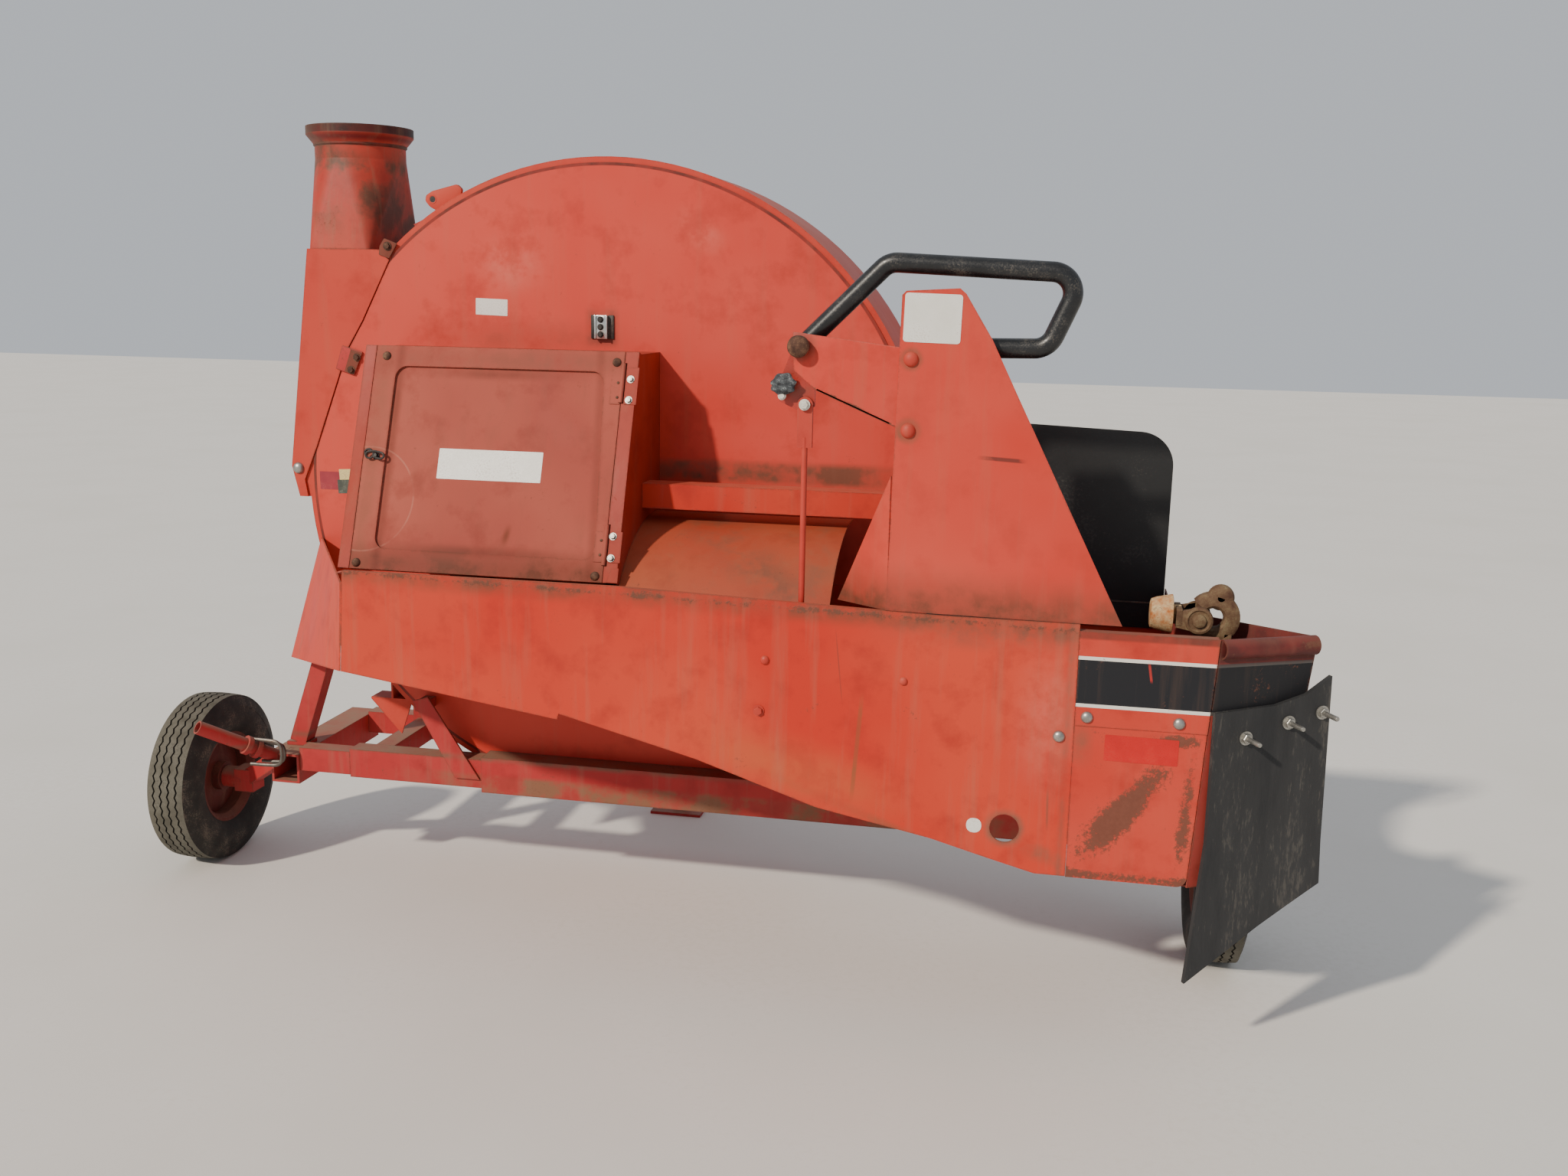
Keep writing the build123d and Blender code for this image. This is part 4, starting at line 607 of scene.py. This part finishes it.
# A ribbed trailer tyre: zigzag grooves round the tread, plain side walls with two raised rings
def ribbedTyre(name, body):
    low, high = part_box(name)
    outer, wide = (high.z - low.z) / 2 / mm, (high.x - low.x) / 2 / mm
    half, slant = tyreLook["half"], tyreLook["grooveSlant"]
    ribWide = (2 * half - (tyreLook["ribs"] - 1) * tyreLook["groove"]) / tyreLook["ribs"]
    across = []
    for i in range(tyreLook["ribs"]):
        start = -half + i * (ribWide + tyreLook["groove"])
        for x in (start, start + ribWide):
            top = outer - tyreLook["sunk"] - tyreLook["crown"] * (x / half) ** 2
            pair = [(x, top), (x + (slant if x > start else -slant), top - tyreLook["depth"])]
            if (i, x > start) in ((0, False), (tyreLook["ribs"] - 1, True)):
                pair = [(x, top)]
            across += pair if x > start else pair[::-1]
    side = tyreLook["bead"] + [(wide - inset, r) for inset, r in tyreLook["wall"]]
    side.append((half + tyreLook["shoulder"][0], tyreLook["shoulder"][1]))
    shape = bmesh.new()
    profile = [shape.verts.new((x, 0, r)) for x, r in [(-x, r) for x, r in side] + across + side[::-1]]
    edges = [shape.edges.new(pair) for pair in zip(profile, profile[1:])]
    edges.append(shape.edges.new((profile[-1], profile[0])))
    steps = tyreLook["teeth"] * 2
    bmesh.ops.spin(shape, geom=profile + edges, cent=(0, 0, 0), axis=alongWay, angle=math.tau, steps=steps,
                   use_merge=True)
    for v in shape.verts:
        if abs(v.co.x) < half - tyreLook["plainEdge"] and v.co.yz.length > tyreLook["zigzagRadius"]:
            tooth = round(math.atan2(v.co.y, v.co.z) / math.tau * steps)
            v.co.x += tyreLook["zigzag"] * (1 if tooth % 2 else -1)
    bmesh.ops.recalc_face_normals(shape, faces=shape.faces)
    chalky = outer - tyreLook["chalkDepth"]
    for face in shape.faces:
        face.material_index = 1 if min(v.co.yz.length for v in face.verts) > chalky else 0
    place = Matrix.Translation((low + high) / 2) @ Matrix.Scale(mm, 4)
    finishes = [tyreRubber, treadRubber]
    makePiece(name + "Tread", body, finishes, [(shape, place, None)], tyreLook["sharp"], [name])


ribbedTyre("tyre_left", "wheel_left")
ribbedTyre("tyre_right", "wheel_right")
print("tyres made")

# turned shapes of each fastener: number of sides, then radius and height pairs
fasteners = {
    "hex": [(24, [(0, 0), (13, 0), (13, 2), (0, 2)]),
            (6, [(0, 2), (9.5, 2), (9.5, 7.6), (8.4, 8.6), (0, 8.8)])],
    "round": [(20, [(0, 0), (12, 0), (11.4, 2.6), (9.2, 5.4), (5.4, 7.4), (0, 8.2)])],
    "screw": [(16, [(0, 0), (7.5, 0), (7.5, 1.2), (0, 1.2)]),
              (6, [(0, 1.2), (5.6, 1.2), (5.6, 4.6), (4.9, 5.2), (0, 5.4)])],
    "rivet": [(12, [(0, 0), (3.4, 0), (3.0, 1.2), (1.6, 2.0), (0, 2.2)])],
    "stud": [(24, [(0, 0), (12, 0), (12, 2), (0, 2)]), (6, [(0, 2), (9, 2), (9, 8), (8, 9), (0, 9)]),
             (14, [(0, 8), (4.4, 8), (4.4, 40), (3.4, 42), (0, 42)])],
    "pivot": [(28, [(0, 0), (21.4, 0), (21, 4), (18, 9), (12, 12.6), (5, 13.8), (0, 14)])]}
fastenerLook = {"sharp": 30.0, "turnEach": 0.9}


# Fasteners of one finish on one body, in rows of kind, place and scale
def placeFasteners(name, body, finish, rows):
    shapes = []
    for i, (kind, place, size) in enumerate(rows):
        spin = Matrix.Rotation(i * fastenerLook["turnEach"], 4, "Z") @ Matrix.Scale(size, 4)
        shapes += [(turned(rings, steps), place @ spin) for steps, rings in fasteners[kind]]
    makePiece(name, body, [finish], shapes, fastenerLook["sharp"])


# y of each sheet's front, and how far the hinges stand off their slope
sheetY = {"skirt": -500.0, "band": -501.5, "bracket": -496.0, "face": -3.8, "duct": -6.0, "pin": -511,
          "link": -484}
hingeOff = 1.6


# Place on one of those sheets, on the door or on its hinges
def onSheet(sheet, x, z):
    if sheet in sheetY:
        return onFront(x, z, sheetY[sheet])
    return onDoor(x, z, hingeOff if sheet == "hinge" else 0.0)


# Fasteners of each piece: body, finish, then rows of kind, sheet, x, z and scale
fastenerRows = {
    "zincBolts": ("frame", zincBolt, [
        ("round", "band", 1133, 715, 1.0), ("round", "band", 1306, 715, 1.0),
        ("round", "skirt", 1082, 672, 1.0), ("round", "duct", -791, 1064, 1.2),
        ("screw", "hinge", 120, 1316, 1.12), ("screw", "hinge", 120, 1272, 1.12),
        ("screw", "hinge", 116.5, 986, 1.12), ("screw", "hinge", 116.5, 941, 1.12)]),
    "paintedBolts": ("frame", boltPaint, [
        ("round", "bracket", 767, 1389, 1.2), ("round", "bracket", 766, 1254, 1.2),
        ("round", "skirt", 495, 785, 0.8), ("hex", "skirt", 484, 679, 0.9), ("round", "skirt", 775, 761, 0.7),
        ("round", "face", -640, 1015, 0.7)]),
    "doorCornerBolts": ("door", boltRust, [
        ("round", "door", x, z, 0.85) for x, z in ((-461, 1352), (84, 1352), (-472, 903), (84, 903))]),
    "doorHingeRivets": ("door", boltRust, [
        ("rivet", "hinge", x, z, 1.0) for x, z in ((92, 1308), (93, 1277), (91, 977), (91, 947))]),
    "barPivotHead": ("feed_bar", boltRust, [("pivot", "pin", 552, 1408, 1.0)]),
    "whiteLinkBolt": ("feed_bar", boltWhite, [
        ("screw", "link", 562, 1296, 1.5), ("screw", "link", 517, 1312, 1.1)])}
for name, (body, finish, rows) in fastenerRows.items():
    placeFasteners(name, body, finish, [
        (kind, onSheet(sheet, x, z), size) for kind, sheet, x, z, size in rows])
print("fasteners made")

# Plates and stickers, all blank; the turn is in degrees
flatPieces = {
    "towerSignPlate": {
        "at": (805, 1466), "sheet": "bracket", "size": (108, 91), "turn": -1.4, "thick": 0.8, "corner": 6,
        "finish": whitePlate},
    "drumPlate": {
        "at": (-277, 1464), "sheet": "face", "size": (79, 38), "turn": -1.6, "thick": 0.5, "corner": 1.5,
        "finish": whitePlate},
    "redTag": {
        "at": (-705, 1036), "sheet": "face", "size": (62, 44), "turn": 0.5, "thick": 0.4, "corner": 1,
        "finish": deepTag},
    "paleTag": {
        "at": (-661, 1053), "sheet": "face", "size": (46, 26), "turn": 3.0, "thick": 0.5, "corner": 1,
        "finish": paleTag},
    "darkTag": {
        "at": (-666, 1023), "sheet": "face", "size": (46, 34), "turn": 3.0, "thick": 0.5, "corner": 1,
        "finish": darkTag},
    "redSticker": {
        "at": (1239, 656), "sheet": "skirt", "size": (139, 52), "turn": -0.6, "thick": 0.5, "corner": 2,
        "finish": brightTag},
    "roundSticker": {
        "at": (926, 475), "sheet": "skirt", "size": (30, 30), "turn": 0, "thick": 0.4, "corner": 13,
        "finish": whitePlate}}
for name, look in flatPieces.items():
    w, h = (length / 2 for length in look["size"])
    turn = Matrix.Rotation(math.radians(look["turn"]), 4, "Z")
    makePiece(name, "frame", [look["finish"]], [
        (cutPlate(rectangle(-w, w, -h, h), look["thick"], look["corner"]),
         onSheet(look["sheet"], *look["at"]) @ turn)])

doorPatch = {"at": (-187, 1123.5), "half": (122, 34.58), "thick": 0.4, "corner": 2, "off": -6.0}
w, h = doorPatch["half"]
makePiece("doorWhitePatch", "door", [whitePlate], [
    (cutPlate(rectangle(-w, w, -h, h), doorPatch["thick"], doorPatch["corner"]),
     onDoor(*doorPatch["at"], doorPatch["off"]))])
print("plates made")

# Door hardware: hinge leaves, a corner plate on the box, and the wire latch
hinges = {"leaves": [(1302, 42), (964, 34)], "box": (109, 137), "door": (76, 99.5), "corner": 1.5}
boxCorner = {"at": (122, 906, 0.1), "outline": [(-13, -16), (14, -16), (14, 16), (-3, 16)], "thick": 1.4,
             "corner": 1}


# Both hinge leaves on one side of the hinge line
def hingeLeaves(side):
    left, right = hinges[side]
    w = (right - left) / 2
    return [(cutPlate(rectangle(-w, w, -half, half), hingeOff, hinges["corner"]), onDoor((left + right) / 2, z))
            for z, half in hinges["leaves"]]


makePiece("boxHingeLeaves", "frame", [boxPaint], hingeLeaves("box") + [
    (cutPlate(boxCorner["outline"], boxCorner["thick"], boxCorner["corner"]), onDoor(*boxCorner["at"]))])
makePiece("doorHingeLeaves", "door", [doorPaint], hingeLeaves("door"))

latch = {"at": (-459, 1133), "wire": 2.6, "pinAt": (-456, 1132), "bends": [
    (-22, 0, 3), (-24, 8, 7), (-10, 14, 12), (2, 4, 9), (-4, -8, 7), (-18, -7, 9), (-16, 5, 13), (0, 8, 12),
    (12, 7, 9), (24, 4, 9), (26, -6, 9), (14, -10, 9), (2, -4, 8)],
    "pin": [(0, 0), (8, 0), (8, 2), (5, 2), (5, 10), (0, 10)]}
makePiece("doorLatchWire", "door", [darkIron], [
    (bentRod(latch["bends"], latch["wire"]), onDoor(*latch["at"])),
    (turned(latch["pin"]), onDoor(*latch["pinAt"]))])

# Three long bolts through the flap, with their nuts on its face
flapStuds = {"out": (0.4453, -0.8954, 0), "right": (0.8954, 0.4453, 0), "size": 1.15,
             "at": [(1432, -481, 690.7), (1512.6, -446.8, 718), (1576, -424, 736.4)]}
placeFasteners("flapStuds", "frame", zincBolt, [
    ("stud", layOn(at, flapStuds["right"], flapStuds["out"]), flapStuds["size"]) for at in flapStuds["at"]])
print("door hardware and studs made")

# Small ironwork on the drum's edge and the duct
ductClip = {"outline": [(-660, 1366), (-607, 1351), (-631, 1295), (-679, 1310)], "y": -6.0, "thick": 3,
            "corner": 2, "edge": 0.6, "bolts": [(-622, 1338), (-638, 1308)], "boltY": -9.2, "boltSize": 0.75}
clipWorn = {"outline": [(-637, 1357), (-608, 1349), (-632, 1297), (-656, 1304)], "y": -9.0, "thick": 0.4}
makePiece("ductClip", "frame", [framePaint], [facingPlate(ductClip)])
makePiece("ductClipWorn", "frame", [castPaint], [facingPlate(clipWorn)])
placeFasteners("ductClipBolts", "frame", boltRust, [
    ("hex", onFront(x, z, ductClip["boltY"]), ductClip["boltSize"]) for x, z in ductClip["bolts"]])

liftLug = {
    "outline": [(-448, 1694), (-459, 1707), (-457, 1720), (-441, 1730), (-378, 1746), (-366, 1735),
                (-372, 1706), (-402, 1694), (-425, 1682)], "thick": 10, "y": 55, "corner": 4, "edge": 1.0,
    "hole": (-440, 1711), "lipY": 45.2, "darkY": 45.1, "steps": 20,
    "lip": [(8, 0), (10, 0), (10, 0.8), (8, 0.8), (7, 0.2), (8, 0)],
    "dark": [(0, 0), (7.4, 0), (7.2, 0.3), (0, 0.3)]}
makePiece("liftLug", "frame", [drumPaint], [
    facingPlate(liftLug),
    (turned(liftLug["lip"], liftLug["steps"]), onFront(*liftLug["hole"], liftLug["lipY"]))])
# the lug's hole is a dark disc on its face: painted shade in place of an opening
makePiece("liftLugHoleShade", "frame", [darkIron], [
    (turned(liftLug["dark"], liftLug["steps"]), onFront(*liftLug["hole"], liftLug["darkY"]))])

edgeLatch = {"outline": [(-474, 1651), (-436, 1668), (-430, 1658), (-460, 1640)], "thick": 26, "y": 34,
             "corner": 2, "edge": 1.0}
makePiece("edgeLatch", "frame", [framePaint], [facingPlate(edgeLatch)])

cornerBracket = {
    "outline": [(-556, 1580), (-553, 1600), (-541, 1618), (-509, 1606), (-520, 1588), (-530, 1572)],
    "thick": 3, "y": -6.0, "corner": 2, "edge": 0.6, "bolt": (-533, 1600, -9.0), "boltSize": 0.8}
makePiece("spoutBracket", "frame", [castPaint], [facingPlate(cornerBracket)])
placeFasteners("spoutBracketBolt", "frame", boltRust, [
    ("hex", onFront(*cornerBracket["bolt"]), cornerBracket["boltSize"])])

# Bright clamp on the drum's face: a channel of strips (left, right, height, finish) with three bolts
brightClamp = {
    "at": (-6, 1424), "half": 27, "round": 1, "bolts": (-17, 0, 17), "boltY": -15.8,
    "strips": [(-26, -14, 4, 1), (-15, -11, 15, 0), (-11, 12, 12, 0), (12, 16, 15, 0), (15, 29, 4, 1)]}
x, z = brightClamp["at"]
h = brightClamp["half"]
makePiece("brightClamp", "frame", [brightPlate, darkIron], [
    (cutPlate(rectangle(left, right, -h, h), high, brightClamp["round"], brightClamp["round"]),
     onFront(x, z, sheetY["face"]), finish)
    for left, right, high, finish in brightClamp["strips"]] + [
    (turned(rings, steps), onFront(x, z + step, brightClamp["boltY"]), 1)
    for step in brightClamp["bolts"] for steps, rings in fasteners["screw"]])

# U-bolts on the clamp tube by the left wheel, each with its place and scale
clampBolts = {"rod": 4.6, "each": [((-872, 352, -98), 1.0, 1.0), ((-864, 346, -76), 0.72, 0.74)], "loop": [
    (-44, 33, 0), (10, 33, 0), (44, 30, 0), (50, 0, 0), (44, -30, 0), (10, -33, 0), (-38, -33, 0)]}
makePiece("clampUBolts", "frame", [wornSteel], [
    (bentRod([(x * wide, y * high, z) for x, y, z in clampBolts["loop"]], clampBolts["rod"]), onFront(*at))
    for at, wide, high in clampBolts["each"]])

# Cross joint: flaking collar and front fork, which swing, placed from the middle of the cross
jointSpot = Vector((1345, -350, 897))
fork = {
    "collar": [(0, 0), (24, 0), (29, 2), (33, 12), (36, 26), (39, 38), (39.5, 43), (36, 44), (30, 41), (19, 40),
               (19, 60), (0, 60)], "collarAt": (-99, 0, 0), "collarSteps": 32,
    "ear": [(0, 0), (27, 0), (27.5, 8), (26, 12), (22, 13.5), (19, 11), (14, 10.5), (13, 15.5), (8, 17.5),
            (0, 18)], "earAt": (-6, 25, -4), "earSteps": 28,
    "arm": (44, 16, 4, 24), "armThick": 10, "plate": (36, 18), "plateThick": 12, "plateCorner": 4,
    "plateAt": (-50, 0, 0), "edge": 2, "pins": ((upWay, 42), (tractorWay, 32)), "pinRadii": (7, 9),
    "pinEnd": 3, "pinSteps": 20}
shapes = [(turned(fork["collar"], fork["collarSteps"]),
           layOn(jointSpot + Vector(fork["collarAt"]), tractorWay, alongWay), 1)]
for side in (-1, 1):
    back, out, drop = fork["earAt"]
    far, farHalf, near, nearHalf = fork["arm"]
    place = layOn(jointSpot + Vector((back, side * out, drop)), (-side, 0, 0), (0, side, 0))
    arm = [(side * far, -farHalf), (side * far, farHalf), (side * near, nearHalf), (side * near, -nearHalf)]
    shapes.append((turned(fork["ear"], fork["earSteps"]), place))
    shapes.append((cutPlate(arm, fork["armThick"], 0, fork["edge"]), place))
w, h = fork["plate"]
shapes.append((cutPlate(rectangle(-w, w, -h, h), fork["plateThick"], fork["plateCorner"], fork["edge"]),
               layOn(jointSpot + Vector(fork["plateAt"]), tractorWay, alongWay)))
thin, thick = fork["pinRadii"]
for way, long in fork["pins"]:
    end = fork["pinEnd"]
    rings = [(0, 0), (thin, 0), (thick, end), (thick, 2 * long - end), (thin, 2 * long), (0, 2 * long)]
    shapes.append((turned(rings, fork["pinSteps"]), layOn(jointSpot - Vector(way) * long, alongWay, way)))
makePiece("jointFork", "driveline", [greasyIron, creamRust], shapes, replaced=["driveline"])

# Cast ring behind the joint: an open hoop, a knob and posts (left, right, low, high, back, front)
castRing = {
    "hoop": [(20, -10), (25, -14), (44, -14), (51, -10), (52, 0), (51, 10), (44, 14), (25, 14), (20, 10),
             (19, 0), (20, -10)], "at": (1368, 895, -350), "open": 84, "steps": 34,
    "knob": [(0, 0), (18, 0), (24, 4), (26, 10), (26, 18), (23, 24), (16, 27), (7, 28), (0, 28)],
    "knobAt": (1380, 936, -336), "knobSteps": 28, "edge": 2,
    "posts": [(1389, 1405, 388, 866, -336, -364), (1375, 1409, 387.5, 396, -328, -372)]}
ringOpen = math.radians(castRing["open"])
makePiece("jointRing", "frame", [greasyIron], [
    (turned(castRing["hoop"], castRing["steps"], math.tau - ringOpen),
     onFront(*castRing["at"]) @ Matrix.Rotation(ringOpen / 2 - math.pi, 4, "Z")),
    (turned(castRing["knob"], castRing["knobSteps"]), onFront(*castRing["knobAt"]))] + [
    (cutPlate(rectangle(*sides), back - front, 0, castRing["edge"]), onFront(0, 0, back))
    for *sides, back, front in castRing["posts"]], replaced=["drive_plate"])

# Bracket of the feed bar: one bent sheet with its lip turned in below, and the collar of the bar's pin
bracket = {
    "y": -487.0, "thick": 5.7, "corner": 2, "edge": 0.8, "lip": 28, "lipThick": 4, "lipStart": 2,
    "collar": [(13, 0), (25, 0), (25, 16), (13, 16), (13, 0)], "collarSteps": 28, "collarY": -471.0,
    "pin": (552, 1408), "lipLine": ((585, 1325), (730, 1264)),
    "outline": [(541, 1362), (585, 1325), (730, 1264), (795, 1238), (795, 1404), (742, 1411), (537, 1435)]}
(leftX, leftZ), (rightX, rightZ) = bracket["lipLine"]
runX, runZ = rightX - leftX, rightZ - leftZ
lip = rectangle(bracket["lipStart"], math.hypot(runX, runZ), -bracket["lip"], 0)
makePiece("barBracketSheet", "frame", [bracketPaint], [
    facingPlate(bracket),
    (cutPlate(lip, bracket["lipThick"], 0, bracket["edge"]),
     layOn((leftX, bracket["y"] - bracket["thick"], leftZ + bracket["lipThick"]), (runX, 0, runZ),
           (runZ, 0, -runX))),
    (turned(bracket["collar"], bracket["collarSteps"]), onFront(*bracket["pin"], bracket["collarY"]))],
    replaced=["bar_bracket"])

# Crumpled dark tape at the bracket's end: a ball drawn out and creased by its folds
tape = {"at": (520, 1334, -488), "size": (28, 23, 11), "folds": (2.3, 3.1, 4.3), "warp": 2.0, "small": 0.5,
        "body": 0.88, "crease": 0.12, "sharp": 18.0}
shape = bmesh.new()
bmesh.ops.create_icosphere(shape, subdivisions=4, radius=1.0)
a, b, c = tape["folds"]
for v in shape.verts:
    fold = math.sin(a * v.co.x + tape["warp"] * math.sin(b * v.co.y)) * math.sin(b * v.co.z + c * v.co.x)
    fold += tape["small"] * math.sin(c * v.co.y * 2)
    v.co *= tape["body"] + tape["crease"] * fold
makePiece("crumpledTape", "feed_bar", [tapeFoil], [
    (shape, onFront(*tape["at"]) @ Matrix.Diagonal((*tape["size"], 1)))], tape["sharp"])

# Bolts of the bearing plate and the rear rail, on the hidden side
bearing = {"middle": 1040, "circle": 78, "first": 45, "count": 4, "y": 292, "size": 1.1}
angles = [math.radians(bearing["first"] + 360 / bearing["count"] * i) for i in range(bearing["count"])]
placeFasteners("bearingBolts", "frame", boltRust, [
    ("hex", onBack(bearing["circle"] * math.cos(angle), bearing["middle"] + bearing["circle"] * math.sin(angle),
                   bearing["y"]), bearing["size"]) for angle in angles])
railBolts = {"x": (-620, -560, 1190, 1245), "z": (312, 346), "y": 310, "size": 1.2}
placeFasteners("railBolts", "frame", boltPaint, [
    ("hex", onBack(x, z, railBolts["y"]), railBolts["size"]) for x in railBolts["x"] for z in railBolts["z"]])

# Pale top edge of the back sheet where it shows against the black one
edgeLine = {"outline": rectangle(1160, 1294, 846, 849.5), "y": -10.4, "thick": 0.8}
makePiece("sheetEdgeLine", "frame", [wornSteel], [facingPlate(edgeLine)])
print("small ironwork made")

# floor, light and camera
studio = {"floorHalf": 24.0, "floorColour": "#D9D6D0", "worldColour": "#E4E9F0", "worldLevel": 0.7,
          "sunLevel": 3.9, "sunSoftness": 2.5, "sunWay": (410, 595, -474), "sunColour": "#FFF3E2"}
floorMesh = bmesh.new()
bmesh.ops.create_grid(floorMesh, x_segments=2, y_segments=2, size=studio["floorHalf"])
floorData = bpy.data.meshes.new("studioFloor")
floorMesh.to_mesh(floorData)
floorMesh.free()
floor = bpy.data.objects.new("studioFloor", floorData)
bpy.context.collection.objects.link(floor)
floor.data.materials.append(wornSurface(
    "paleConcreteFloor", low=studio["floorColour"], high="#DEDBD6", marks="#D2CEC6", markLevel=0.3,
    size=900.0, grain=20.0, rough=0.75, bump=0.05))
world = bpy.data.worlds.new("studioWorld")
world.use_nodes = True
world.node_tree.nodes["Background"].inputs["Color"].default_value = hexColour(studio["worldColour"])
world.node_tree.nodes["Background"].inputs["Strength"].default_value = studio["worldLevel"]
bpy.context.scene.world = world
sunData = bpy.data.lights.new("lowSun", "SUN")
sunData.energy = studio["sunLevel"]
sunData.angle = math.radians(studio["sunSoftness"])
sunData.color = hexColour(studio["sunColour"])[:3]
sun = bpy.data.objects.new("lowSun", sunData)
sun.rotation_euler = Vector(studio["sunWay"]).to_track_quat("-Z", "Y").to_euler()
bpy.context.collection.objects.link(sun)

cameraPlace = {"at": (0.860, -3.4455, 1.5), "yaw": 11.0, "pitch": -11.52, "roll": 1.1, "lens": 32.777}
yaw, pitch, roll = (math.radians(cameraPlace[key]) for key in ("yaw", "pitch", "roll"))
ahead = Vector((-math.sin(yaw) * math.cos(pitch), math.cos(yaw) * math.cos(pitch), math.sin(pitch)))
level = Vector((math.cos(yaw), math.sin(yaw), 0))
above = level.cross(ahead)
imageRight = level * math.cos(roll) + above * math.sin(roll)
imageUp = above * math.cos(roll) - level * math.sin(roll)
cameraData = bpy.data.cameras.new("photoCamera")
cameraData.sensor_width = 36.0
cameraData.lens = cameraPlace["lens"]
camera = bpy.data.objects.new("photoCamera", cameraData)
turn = Matrix((imageRight, imageUp, -ahead)).transposed().to_4x4()
camera.matrix_world = Matrix.Translation(cameraPlace["at"]) @ turn
bpy.context.collection.objects.link(camera)
bpy.context.scene.camera = camera
print("camera and lights set")
